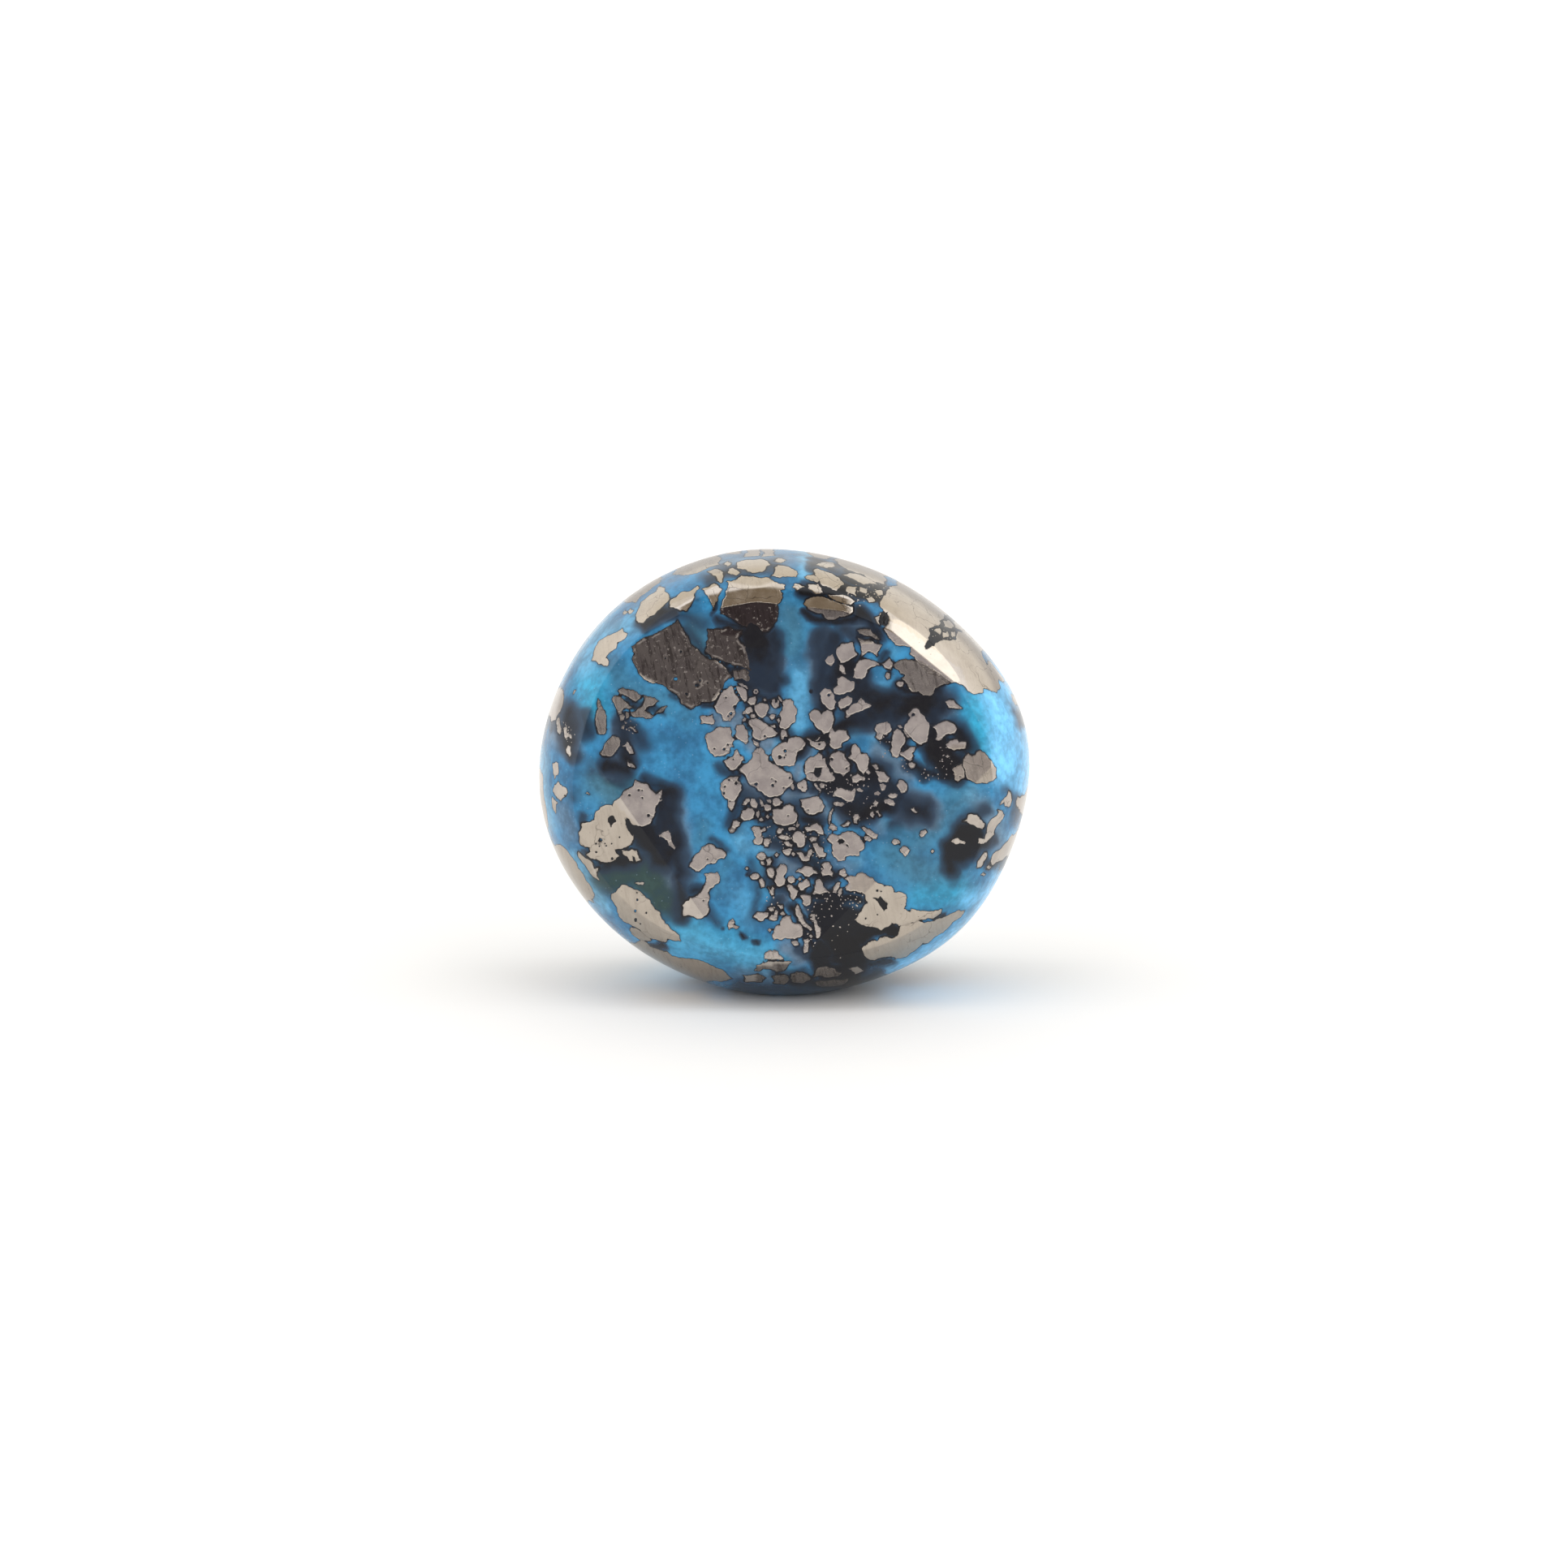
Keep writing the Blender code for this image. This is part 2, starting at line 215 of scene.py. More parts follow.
FACE_CHIPS = outlines("""
5.97,12.86 6.13,12.63 6.33,12.48 6.51,12.21 6.53,11.98 6.43,11.37 6.18,11.22 5.97,11.3 5.77,11.47
5.52,11.73 5.39,11.98 5.57,12.28 5.67,12.46 5.58,12.61 5.75,12.79;
-3.73,12.5 -3.5,12.52 -3.45,12.48 -3.2,12.58 -3.18,12.42 -3.08,12.28 -3.12,12.15 -3.4,12.17 -3.72,12.17;
-2.33,13.86 -2.26,13.75 -2.06,13.39 -1.98,13.22 -2.13,13.01 -2.26,12.91 -2.18,12.74 -2.2,12.53 -2.4,12.28
-2.71,12.3 -2.76,12.56 -2.99,12.68 -3.1,12.96 -2.99,13.1 -2.79,13.54 -2.54,13.72;
-2.12,13.85 -1.88,13.82 -1.7,13.7 -1.65,13.49 -1.65,13.24 -1.75,13.14 -1.83,13.24 -1.95,13.44 -2.08,13.67;
-2.05,13.98 -1.85,13.97 -1.65,13.85 -1.6,13.72 -1.7,13.78 -1.95,13.9;
-1.35,13.62 -1.3,13.72 -1.18,13.72 -1.12,13.6 -1.2,13.5 -1.32,13.52;
-1.63,13.16 -1.54,13.32 -1.41,13.35 -1.26,13.39 -1.23,13.22 -1.3,13.01 -1.47,13.0;
-0.9,13.28 -0.83,13.3 -0.77,13.2 -0.85,13.17;
-0.52,13.22 -0.4,13.27 -0.38,13.1 -0.3,13.12 -0.28,13.26 -0.2,13.2 -0.22,12.95 -0.35,12.85 -0.48,12.93;
-0.23,13.4 -0.12,13.3 -0.07,13.15 -0.13,13.18 -0.22,13.3;
-0.03,13.17 0.12,13.27 0.29,13.28 0.43,13.17 0.47,12.99 0.6,12.84 0.59,12.63 0.52,12.46 0.48,12.21
0.29,12.1 0.22,12.0 0.04,11.92 -0.14,11.98 -0.2,12.1 -0.14,12.28 -0.11,12.46 -0.19,12.58 -0.04,12.79
-0.01,12.99;
-0.3,12.35 -0.2,12.42 -0.16,12.3 -0.22,12.2;
-0.1,11.88 0.0,11.9 0.1,11.85 0.17,11.6 0.03,11.6 -0.03,11.45 -0.1,11.5 -0.13,11.75;
-0.46,11.04 -0.29,11.17 -0.09,11.3 0.17,11.32 0.22,11.47 0.39,11.55 0.72,11.56 0.87,11.45 0.97,11.22
0.85,11.02 0.61,10.89 0.55,10.56 0.49,10.31 0.14,10.29 -0.26,10.3 -0.39,10.46 -0.52,10.72 -0.52,10.89;
1.04,11.52 1.35,11.37 1.53,11.35 1.81,11.38 1.9,11.22 1.78,11.01 1.53,11.03 1.25,11.17;
1.42,11.42 1.63,11.58 1.6,11.5 1.46,11.39;
0.6,9.45 0.65,9.52 0.9,9.66 1.0,9.6 1.05,9.4 0.97,9.1 0.85,9.12 0.63,9.28;
0.33,9.45 0.42,9.48 0.47,9.3 0.42,9.2 0.33,9.28;
1.36,9.48 1.45,9.5 1.68,9.2 1.66,9.12 1.5,9.25;
1.6,9.45 1.7,9.52 1.85,9.45 1.83,9.3 1.68,9.27;
2.21,8.92 2.26,9.1 2.39,9.28 2.57,9.3 2.77,9.2 2.99,9.15 3.1,9.2 3.2,9.28 3.2,9.0 3.15,8.75 2.94,8.67
2.74,8.75 2.57,8.87;
3.27,9.25 3.38,9.3 3.57,9.15 3.5,9.1 3.3,9.17;
2.24,8.6 2.4,8.68 2.6,8.65 2.75,8.55 2.6,8.46 2.35,8.48;
3.07,9.8 3.22,9.86 3.3,9.93 3.42,9.83 3.65,9.73 3.63,9.63 3.37,9.6 3.22,9.53 3.1,9.53;
2.02,8.0 2.06,8.2 2.2,8.37 2.2,8.25 2.13,7.95 2.08,7.62 2.03,7.7;
2.02,7.5 2.15,7.7 2.4,7.55 2.38,7.4 2.2,7.38;
2.58,7.62 2.75,7.65 2.88,7.8 2.98,7.75 2.9,7.6 2.7,7.54;
3.1,8.0 3.2,8.12 3.35,8.1 3.43,7.98 3.3,7.85 3.3,7.7 3.15,7.72;
3.5,7.5 3.6,7.55 3.9,7.4 4.22,7.2 4.17,7.02 4.0,7.0 3.75,7.2;
3.6,7.1 3.85,7.12 3.95,6.98 3.85,6.9 3.65,6.95;
-1.85,12.6 -1.7,12.8 -1.5,12.93 -1.4,12.82 -1.37,12.72 -1.6,12.6;
-1.3,12.98 -1.1,13.08 -0.9,13.08 -0.72,13.05 -0.65,12.85 -0.75,12.7 -0.85,12.5 -0.95,12.43 -1.1,12.5
-1.25,12.7;
-1.49,12.52 -1.42,12.62 -1.3,12.6 -1.25,12.5 -1.32,12.42 -1.45,12.43;
-1.85,12.35 -1.75,12.45 -1.67,12.4 -1.7,12.3 -1.83,12.27;
-0.65,12.5 -0.5,12.6 -0.37,12.55 -0.42,12.42 -0.5,12.34;
-1.57,12.2 -1.55,12.32 -1.4,12.37 -1.25,12.42 -1.1,12.35 -0.85,12.2 -0.68,12.05 -0.5,11.98 -0.27,11.75
-0.35,11.65 -0.65,11.55 -1.0,11.42 -1.15,11.45 -1.35,11.57 -1.4,11.65 -1.35,11.85 -1.4,12.0;
-0.6,12.1 -0.4,12.12 -0.36,12.0 -0.48,12.01;
-2.1,12.1 -1.95,12.13 -1.8,12.12 -1.73,11.95 -1.62,11.85 -1.6,11.5 -1.6,11.4 -1.7,11.25 -1.95,11.45
-2.12,11.55 -2.12,11.8;
-1.4,11.48 -1.25,11.38 -1.1,11.28 -1.1,11.15 -1.2,11.15 -1.35,11.3;
-2.68,10.48 -2.6,10.55 -2.4,10.65 -2.25,10.72 -2.2,10.9 -2.1,11.02 -2.0,10.85 -1.95,10.72 -1.8,10.68
-1.8,10.55 -1.95,10.35 -2.25,10.08 -2.4,10.12 -2.55,10.28;
-3.52,11.55 -3.4,11.75 -3.15,11.85 -2.95,12.0 -2.8,12.02 -2.4,12.0 -2.33,11.85 -2.35,11.65 -2.2,11.45
-2.3,11.3 -2.25,11.15 -2.4,11.1 -2.45,10.85 -2.6,10.78 -2.85,10.72 -3.1,10.7 -3.3,10.9 -3.4,11.1
-3.45,11.35;
-2.83,9.25 -2.8,9.5 -2.65,9.65 -2.45,9.75 -2.2,9.78 -2.03,9.78 -2.05,9.6 -1.95,9.55 -1.88,9.4 -1.87,9.2
-2.0,9.05 -2.1,8.85 -2.2,8.55 -2.33,8.28 -2.5,8.5 -2.5,8.8 -2.65,8.88 -2.75,9.0 -2.78,9.15;
-1.98,10.08 -1.8,10.3 -1.62,10.4 -1.55,10.48 -1.42,10.6 -1.4,10.85 -1.3,10.98 -1.05,11.1 -0.9,11.0
-0.85,10.85 -0.68,10.72 -0.7,10.55 -0.55,10.4 -0.3,10.27 -0.05,10.13 0.1,10.0 0.3,9.97 0.38,9.8 0.35,9.7
0.43,9.6 0.3,9.35 0.0,9.1 -0.15,8.97 -0.4,8.93 -0.55,8.87 -0.85,8.98 -1.1,9.15 -1.2,9.28 -1.4,9.4
-1.6,9.55 -1.68,9.8 -1.8,9.95;
-1.85,8.55 -1.7,8.78 -1.55,8.82 -1.5,8.7 -1.6,8.65 -1.7,8.52;
-1.5,8.65 -1.43,8.82 -1.3,8.8 -1.17,8.6 -1.2,8.4 -1.35,8.4 -1.45,8.5;
-1.1,8.8 -0.95,8.7 -0.88,8.5 -1.0,8.47 -1.05,8.6;
-0.77,8.75 -0.6,8.78 -0.54,8.7 -0.57,8.62 -0.7,8.65;
-0.49,8.75 -0.35,8.85 -0.2,8.8 -0.05,8.65 -0.2,8.5 -0.4,8.47 -0.5,8.6;
-0.9,8.5 -0.75,8.57 -0.58,8.5 -0.57,8.3 -0.7,8.25 -0.85,8.3;
-1.9,8.1 -1.85,8.25 -1.6,8.4 -1.4,8.38 -1.3,8.2 -1.35,7.98 -1.5,7.87 -1.8,7.85 -1.92,7.95;
-1.22,8.2 -1.12,8.28 -1.08,8.1 -1.15,7.95 -1.22,8.05;
-1.1,7.85 -1.0,7.97 -0.9,7.86 -1.0,7.8;
-0.8,8.0 -0.72,8.1 -0.64,8.0 -0.7,7.9;
-0.5,8.3 -0.35,8.35 -0.05,8.35 0.0,8.45 0.25,8.55 0.45,8.45 0.5,8.2 0.62,8.05 0.6,7.85 0.45,7.7 0.2,7.62
0.0,7.6 -0.25,7.65 -0.42,7.75 -0.5,7.95 -0.48,8.15;
0.55,7.55 0.6,7.72 0.7,7.62 0.62,7.52;
0.75,8.75 0.95,8.8 1.2,8.85 1.57,8.9 1.62,8.8 1.78,8.55 1.83,8.45 1.75,8.25 1.45,8.15 1.15,8.1 1.0,8.2
0.8,8.45;
-2.45,7.4 -2.3,7.6 -2.25,7.8 -2.1,7.83 -1.95,7.75 -1.98,7.6 -2.2,7.45 -2.2,7.35 -2.38,7.28;
-1.43,7.5 -1.3,7.57 -1.1,7.55 -1.05,7.42 -0.85,7.53 -0.8,7.4 -0.9,7.35 -1.0,7.3 -0.93,7.05 -1.0,6.8
-1.1,6.75 -1.3,6.78 -1.35,6.95 -1.25,7.1;
-0.88,6.98 -0.78,7.02 -0.63,7.0 -0.62,6.85 -0.7,6.65 -0.83,6.65;
0.2,7.5 0.35,7.53 0.55,7.48 0.5,7.4 0.25,7.38;
-0.3,7.35 -0.2,7.5 -0.05,7.4 -0.1,7.25 -0.25,7.25;
-0.25,7.12 -0.05,7.2 0.15,7.15 0.3,7.0 0.1,6.95 -0.1,7.0;
0.0,6.85 0.2,6.9 0.4,6.75 0.35,6.65 0.15,6.7;
0.95,7.5 1.2,7.55 1.3,7.65 1.5,7.72 1.65,7.6 1.75,7.4 1.8,7.2 1.55,7.25 1.4,7.4 1.2,7.35 1.0,7.4;
0.4,7.1 0.5,7.3 0.7,7.35 0.95,7.2 0.97,7.0 0.95,6.8 0.85,6.65 0.65,6.63 0.6,6.8 0.4,6.95;
1.15,7.0 1.3,7.1 1.5,7.05 1.45,6.92 1.25,6.88;
3.17,14.05 3.17,13.85 3.02,13.59 2.67,13.49 2.26,13.54 2.24,13.75 2.44,13.9 2.41,14.2 2.62,14.3;
1.62,13.54 1.86,13.77 2.06,13.72 2.24,13.49 2.26,13.27 2.37,13.14 2.29,12.86 2.06,12.79 1.91,12.91
1.73,13.11 1.68,13.29;
2.44,13.11 2.57,13.29 2.87,13.42 3.07,13.32 3.07,13.14 2.82,12.96 2.57,12.81 2.46,12.96;
2.79,12.46 2.79,12.74 2.99,12.94 3.27,13.09 3.47,13.33 3.93,12.99 3.5,12.74 3.27,12.68 2.87,12.43;
1.15,12.63 1.4,12.8 1.58,12.74 1.71,12.58 1.96,12.79 2.19,12.68 2.17,12.08 2.01,11.78 1.81,11.7 1.56,11.93
1.3,12.28;
2.06,11.88 2.16,11.98 2.31,11.8 2.82,11.85 2.97,11.52 2.62,11.32 2.59,11.12 2.26,11.02 2.06,11.22
2.11,11.47;
0.97,10.46 1.15,10.64 1.56,10.87 1.71,10.77 1.73,10.56 1.86,10.64 1.98,10.21 2.11,9.96 2.31,9.71 2.21,9.59
1.56,9.6 1.35,9.59 1.05,9.68 0.97,10.01;
2.06,10.66 2.21,10.84 2.46,10.94 2.72,10.82 2.82,10.56 2.97,10.36 2.94,10.03 2.67,9.81 2.26,10.01
2.04,10.36;
2.89,10.64 3.05,10.84 3.07,11.14 3.2,11.27 3.4,11.07 3.47,10.82 3.73,10.82 3.81,10.49 3.58,9.88 3.37,10.11
3.07,10.56;
3.65,10.05 3.8,10.1 3.9,9.98 3.8,9.88;
3.5,9.75 3.6,9.8 3.65,9.68 3.55,9.6;
6.68,12.0 6.93,12.18 7.36,12.28 7.59,12.18 7.76,11.93 7.64,11.73 7.29,11.7 7.14,11.57 6.98,11.42
6.81,11.47 6.88,11.73 6.83,11.9;
7.26,11.22 7.49,11.42 7.77,11.47 7.84,11.32 8.17,11.35 8.15,11.07 7.89,11.02 7.64,10.97 7.39,11.07;
4.08,11.95 4.16,12.13 4.41,12.21 4.64,12.26 4.79,12.08 4.81,11.83 4.64,11.67 4.46,11.7 4.43,11.5
4.28,11.45 4.11,11.57 4.18,11.78;
5.07,11.94 5.24,11.88 5.44,11.57 5.44,11.35 5.24,11.07 5.09,10.64 4.86,10.72 4.79,10.97 4.82,11.35
4.89,11.67;
5.1,12.08 5.25,12.1 5.33,12.0 5.2,11.97;
5.35,11.9 5.45,11.85 5.65,11.57 5.55,11.55 5.42,11.75;
5.17,10.87 5.52,10.99 5.72,11.13 5.9,11.12 5.87,10.97 5.75,10.87 5.82,10.72 5.67,10.49 5.42,10.66
5.24,10.77;
5.6,10.4 5.75,10.45 5.9,10.35 5.85,10.2 5.7,10.17;
3.95,10.3 4.1,10.35 4.2,10.3 4.25,10.15 4.15,10.1;
4.1,10.05 4.35,10.03 4.5,10.0 4.6,9.85 4.75,9.75 4.7,9.57 4.5,9.57 4.35,9.52 4.25,9.6 4.25,9.8;
4.3,9.47 4.45,9.5 4.6,9.4 4.55,9.25 4.4,9.15 4.35,9.3;
5.05,9.4 5.15,9.5 5.2,9.65 5.35,9.62 5.48,9.5 5.53,9.3 5.45,9.1 5.3,9.05 5.2,9.2;
4.05,9.05 4.2,9.15 4.35,9.05 4.25,8.95 4.1,8.97;
4.67,8.95 4.8,9.05 5.0,9.05 5.12,9.0 5.05,8.85 4.85,8.83;
4.5,8.7 4.55,8.78 4.9,8.75 5.0,8.6 4.95,8.48 4.75,8.52 4.55,8.6;
4.0,8.6 4.1,8.75 4.25,8.65 4.15,8.45;
3.9,8.2 4.0,8.25 4.08,8.1 4.0,7.95 3.88,8.05;
4.12,8.25 4.25,8.3 4.37,8.05 4.3,8.0;
6.09,7.2 6.15,7.35 6.35,7.42 6.42,7.3 6.3,7.15 6.15,7.1;
5.7,8.35 5.85,8.4 6.0,8.2 5.9,8.17 5.78,8.25;
4.85,6.85 4.95,7.0 5.1,6.98 5.22,6.85 5.1,6.78 4.95,6.75;
5.2,6.5 5.35,6.68 5.5,6.65 5.65,6.5 5.55,6.3 5.45,6.22 5.35,6.35;
6.6,6.45 6.66,6.53 6.74,6.45 6.66,6.37;
7.5,6.9 7.65,7.0 7.8,7.05 7.9,6.95 8.15,6.85 8.1,6.77 7.9,6.83 7.7,6.77 7.6,6.85;
1.95,7.0 2.03,7.12 2.14,7.23 2.44,7.15 2.62,7.28 2.94,7.34 3.22,7.26 3.42,7.08 3.6,6.8 3.58,6.54 3.4,6.47
3.38,6.24 2.97,6.27 2.77,6.22 2.72,6.04 2.44,6.01 2.34,6.16 2.16,6.37 2.22,6.49 2.19,6.72 2.04,6.9;
-4.23,5.79 -4.08,6.01 -3.93,6.32 -3.75,6.44 -3.67,6.62 -3.47,6.72 -3.24,6.77 -3.04,6.59 -2.86,6.54
-2.56,6.27 -2.66,6.14 -2.91,6.11 -3.09,5.91 -3.39,5.89 -3.55,5.74 -3.77,5.56 -3.93,5.56;
-3.55,5.43 -3.24,5.49 -2.96,5.51 -2.86,5.26 -2.91,5.03 -3.19,4.83 -3.39,4.62 -3.32,4.32 -3.39,4.07
-3.34,3.84 -3.62,3.49 -3.8,3.44 -4.13,3.56 -4.48,3.56 -4.51,3.77 -4.53,4.04 -4.41,4.17 -4.23,4.25
-4.18,4.37 -3.83,4.5 -3.62,4.73 -3.5,4.98;
-2.5,3.15 -2.45,3.3 -2.28,3.43 -2.2,3.3 -2.25,3.15 -2.0,3.08 -2.1,2.98 -2.3,3.05 -2.45,2.95;
-1.35,3.5 -1.2,3.7 -1.0,3.72 -0.7,3.72 -0.7,3.55 -0.85,3.45 -0.9,3.35 -1.05,3.32 -1.2,3.45;
-0.65,3.45 -0.55,3.6 -0.42,3.6 -0.35,3.83 -0.25,3.75 -0.28,3.55 -0.3,3.38 -0.45,3.35 -0.62,3.38;
-0.7,3.9 -0.6,3.95 -0.47,3.95 -0.45,3.78 -0.55,3.76;
-0.3,4.08 -0.2,4.05 -0.05,4.05 -0.02,3.9 -0.12,3.85 -0.2,3.98;
-0.15,3.68 0.0,3.75 0.08,3.65 0.0,3.6 -0.12,3.62;
-0.5,2.6 -0.42,2.85 -0.35,3.1 -0.15,3.15 -0.12,3.35 0.0,3.5 0.1,3.55 0.3,3.55 0.35,3.35 0.5,3.2 0.7,3.2
0.82,3.1 0.86,2.9 0.85,2.7 0.65,2.6 0.5,2.52 0.35,2.55 0.1,2.58 -0.05,2.5 -0.3,2.55 -0.42,2.48;
-0.7,2.92 -0.62,3.0 -0.55,2.92 -0.62,2.84;
0.62,4.08 0.7,3.95 0.78,3.7 0.85,3.5 0.95,3.3 1.15,3.1 1.28,2.95 1.2,2.9 1.0,3.05 0.8,3.2 0.65,3.5
0.55,3.65 0.52,3.85;
0.35,2.4 0.5,2.45 0.62,2.42 0.65,2.25 0.5,2.22 0.38,2.32;
0.9,2.5 1.1,2.55 1.13,2.4 1.1,2.1 1.08,1.95 0.92,1.9 0.92,2.2;
1.35,3.45 1.42,3.4 1.5,3.2 1.65,3.0 1.67,2.8 1.6,2.6 1.5,2.55 1.45,2.75 1.4,2.95 1.38,3.2;
1.14,2.65 1.22,2.73 1.3,2.65 1.22,2.57;
1.15,3.55 1.25,3.65 1.4,3.65 1.42,3.45 1.3,3.35 1.18,3.42 1.3,3.52;
0.75,4.48 1.0,4.5 1.2,4.47 1.22,4.2 1.15,4.05 0.95,4.0 0.85,4.1 0.88,4.25;
0.15,4.92 0.25,4.97 0.4,4.9 0.5,4.78 0.65,4.68 0.6,4.5 0.5,4.35 0.45,4.27 0.35,4.35 0.32,4.55 0.2,4.72;
0.18,5.19 0.25,5.33 0.4,5.36 0.52,5.22 0.48,5.06 0.35,5.02 0.22,5.07;
-0.4,5.1 -0.35,5.3 -0.3,5.42 -0.32,5.65 -0.2,5.75 -0.15,5.87 0.0,5.87 0.12,5.8 0.12,5.5 0.0,5.3 0.08,5.15
0.05,4.98 -0.15,4.88 -0.3,4.9;
-0.75,5.65 -0.6,5.72 -0.45,5.65 -0.42,5.4 -0.5,5.25 -0.62,5.3 -0.72,5.5;
-1.5,5.35 -1.35,5.45 -1.15,5.45 -1.08,5.35 -1.2,5.2 -1.4,5.2;
-1.1,5.16 -0.98,5.25 -0.85,5.0 -0.87,4.85 -1.0,4.82 -1.05,5.0;
-1.72,5.69 -1.65,5.76 -1.58,5.7 -1.64,5.62;
-1.22,6.2 -1.15,6.35 -1.0,6.42 -0.82,6.3 -0.78,6.15 -0.9,6.08 -1.05,6.07;
-1.02,6.03 -0.9,6.0 -0.85,5.85 -0.97,5.85;
-0.78,6.1 -0.6,6.15 -0.53,6.0 -0.6,5.85 -0.75,5.82;
-0.4,6.3 -0.3,6.4 -0.22,6.3 -0.3,6.2;
-0.05,6.5 0.15,6.55 0.38,6.55 0.3,6.35 0.2,6.25 0.08,6.3;
0.35,6.33 0.43,6.42 0.52,6.33 0.43,6.24;
0.58,6.4 0.75,6.42 0.95,6.2 1.05,6.25 1.1,6.45 1.25,6.55 1.3,6.45 1.2,6.25 1.15,6.05 1.0,6.0 0.8,6.05
0.7,6.2;
1.3,6.8 1.5,6.82 1.6,6.65 1.75,6.6 1.8,6.4 1.92,6.35 1.85,6.2 1.6,6.15 1.5,6.35 1.4,6.55;
1.7,5.85 1.85,5.95 2.05,5.95 2.15,5.8 2.1,5.6 2.22,5.5 2.2,5.3 2.05,5.4 1.75,5.35 1.68,5.5 1.8,5.7;
0.55,5.55 0.65,5.65 0.85,5.7 1.0,5.8 1.25,5.75 1.35,5.6 1.55,5.45 1.3,5.45 1.1,5.3 0.95,5.35 0.75,5.5;
0.65,4.9 0.7,5.05 0.9,5.12 1.05,5.22 1.15,5.1 1.17,4.9 1.05,4.85 0.9,4.72 0.75,4.72;
0.65,5.2 0.72,5.28 0.8,5.2 0.72,5.12;
1.3,4.55 1.4,4.9 1.45,5.15 1.6,5.22 1.7,5.1 1.8,4.85 2.05,4.6 1.7,4.55;
2.2,4.6 2.25,4.85 2.4,5.05 2.55,5.05 2.5,4.9 2.38,4.7 2.35,4.57;
2.43,4.5 2.5,4.75 2.6,4.8 2.6,4.6 2.5,4.4;
2.5,5.4 2.55,5.6 2.72,5.68 2.78,5.55 2.85,5.4 2.7,5.3;
-0.7,4.85 -0.63,4.75 -0.55,4.72 -0.5,4.88 -0.42,4.8 -0.45,4.5 -0.55,4.48 -0.63,4.6;
2.79,4.73 2.79,4.9 2.92,5.05 2.74,5.23 2.99,5.36 3.22,5.33 3.32,5.46 3.58,5.47 3.7,5.41 4.0,5.26 4.41,4.98
4.51,4.88 4.81,4.9 4.94,4.62 5.17,4.65 5.47,4.52 5.52,4.37 5.47,4.04 5.39,3.89 5.65,3.73 5.72,3.89
6.03,3.81 6.48,3.76 6.73,3.77 7.06,3.87 7.04,3.66 6.73,3.46 6.1,3.4 5.72,3.26 5.17,3.11 5.04,3.22
4.84,3.25 4.69,3.08 4.51,3.03 4.38,2.91 4.16,3.03 3.85,3.08 3.5,3.16 3.17,3.39 3.37,3.66 3.53,3.87
3.78,4.17 3.65,4.52;
-8.32,13.29 -8.22,13.16 -8.17,12.99 -8.02,12.74 -7.94,12.48 -7.94,12.08 -7.99,11.73 -8.17,11.7 -8.32,11.75
-8.37,12.03 -8.41,12.21 -8.4,12.51 -8.3,12.84 -8.35,13.11;
-8.22,10.84 -8.07,11.07 -7.87,11.42 -7.64,11.63 -7.36,11.52 -7.32,11.32 -7.39,11.12 -7.51,10.92
-7.72,10.72 -8.12,10.74;
-7.24,11.14 -7.11,11.22 -7.01,11.37 -6.91,11.22 -6.81,11.07 -6.72,10.84 -6.91,10.83 -7.01,10.97
-7.06,11.14;
-6.98,10.5 -6.93,10.4 -6.75,10.35 -6.65,10.2 -6.8,10.22 -7.0,10.3;
-6.9,12.05 -6.75,12.0 -6.58,11.8 -6.7,11.85 -6.85,11.97;
-7.25,12.05 -7.12,12.1 -7.15,11.92 -7.27,11.95;
-7.41,13.64 -7.21,13.77 -6.91,13.69 -6.58,13.59 -6.4,13.44 -6.45,13.29 -6.63,13.16 -6.86,13.29 -7.06,13.44
-7.31,13.49;
-7.64,13.37 -7.51,13.42 -7.21,13.27 -6.96,13.04 -6.76,12.91 -6.91,12.84 -7.16,12.86 -7.26,12.63
-7.39,12.58 -7.49,12.84 -7.59,13.09 -7.68,13.24;
-7.35,12.55 -7.2,12.6 -7.1,12.5 -7.15,12.35 -7.3,12.3;
-7.05,12.7 -6.93,12.66 -6.95,12.45 -7.05,12.4;
-6.28,13.44 -6.05,13.37 -5.77,13.32 -5.59,13.19 -5.75,13.06 -5.95,12.96 -6.15,12.89 -6.23,12.76 -6.0,12.63
-5.82,12.51 -6.0,12.41 -6.35,12.48 -6.65,12.46 -6.81,12.58 -6.88,12.71 -6.6,12.74 -6.4,12.89 -6.28,13.06
-6.23,13.27;
-5.72,12.61 -5.59,12.76 -5.37,12.91 -5.22,12.96 -5.32,12.84 -5.54,12.68;
-7.66,8.49 -7.56,8.72 -7.31,8.9 -7.21,9.05 -6.96,9.23 -6.71,9.4 -6.63,9.65 -6.48,9.55 -6.1,9.45 -6.02,9.3
-5.72,9.0 -5.44,9.2 -5.44,8.75 -5.62,8.59 -5.75,8.39 -5.8,8.04 -5.97,7.71 -6.35,7.56 -6.71,7.63 -6.91,7.89
-7.05,7.98 -6.96,7.38 -6.76,7.13 -6.7,7.2 -6.73,7.05 -6.86,6.75 -7.26,6.57 -7.56,6.54 -7.36,6.24
-7.72,5.99 -7.97,5.96 -8.37,6.11 -8.83,6.27 -8.65,6.44 -8.67,6.62 -9.08,6.75 -9.15,6.9 -9.18,7.28
-9.03,7.53 -9.05,7.68 -8.67,7.76 -8.47,7.86 -8.42,8.19 -8.22,8.42 -7.89,8.53;
-7.26,6.52 -6.91,6.47 -6.81,6.54 -6.58,6.49 -6.53,6.29 -6.4,6.06 -6.6,5.99 -6.68,6.2 -6.78,6.25 -6.74,6.0
-6.91,6.04 -7.03,6.24 -7.21,6.37;
-5.59,7.18 -5.16,7.38 -5.04,7.13 -5.01,6.9 -4.84,6.64 -4.89,6.52 -5.14,6.72 -5.22,6.95 -5.57,7.1;
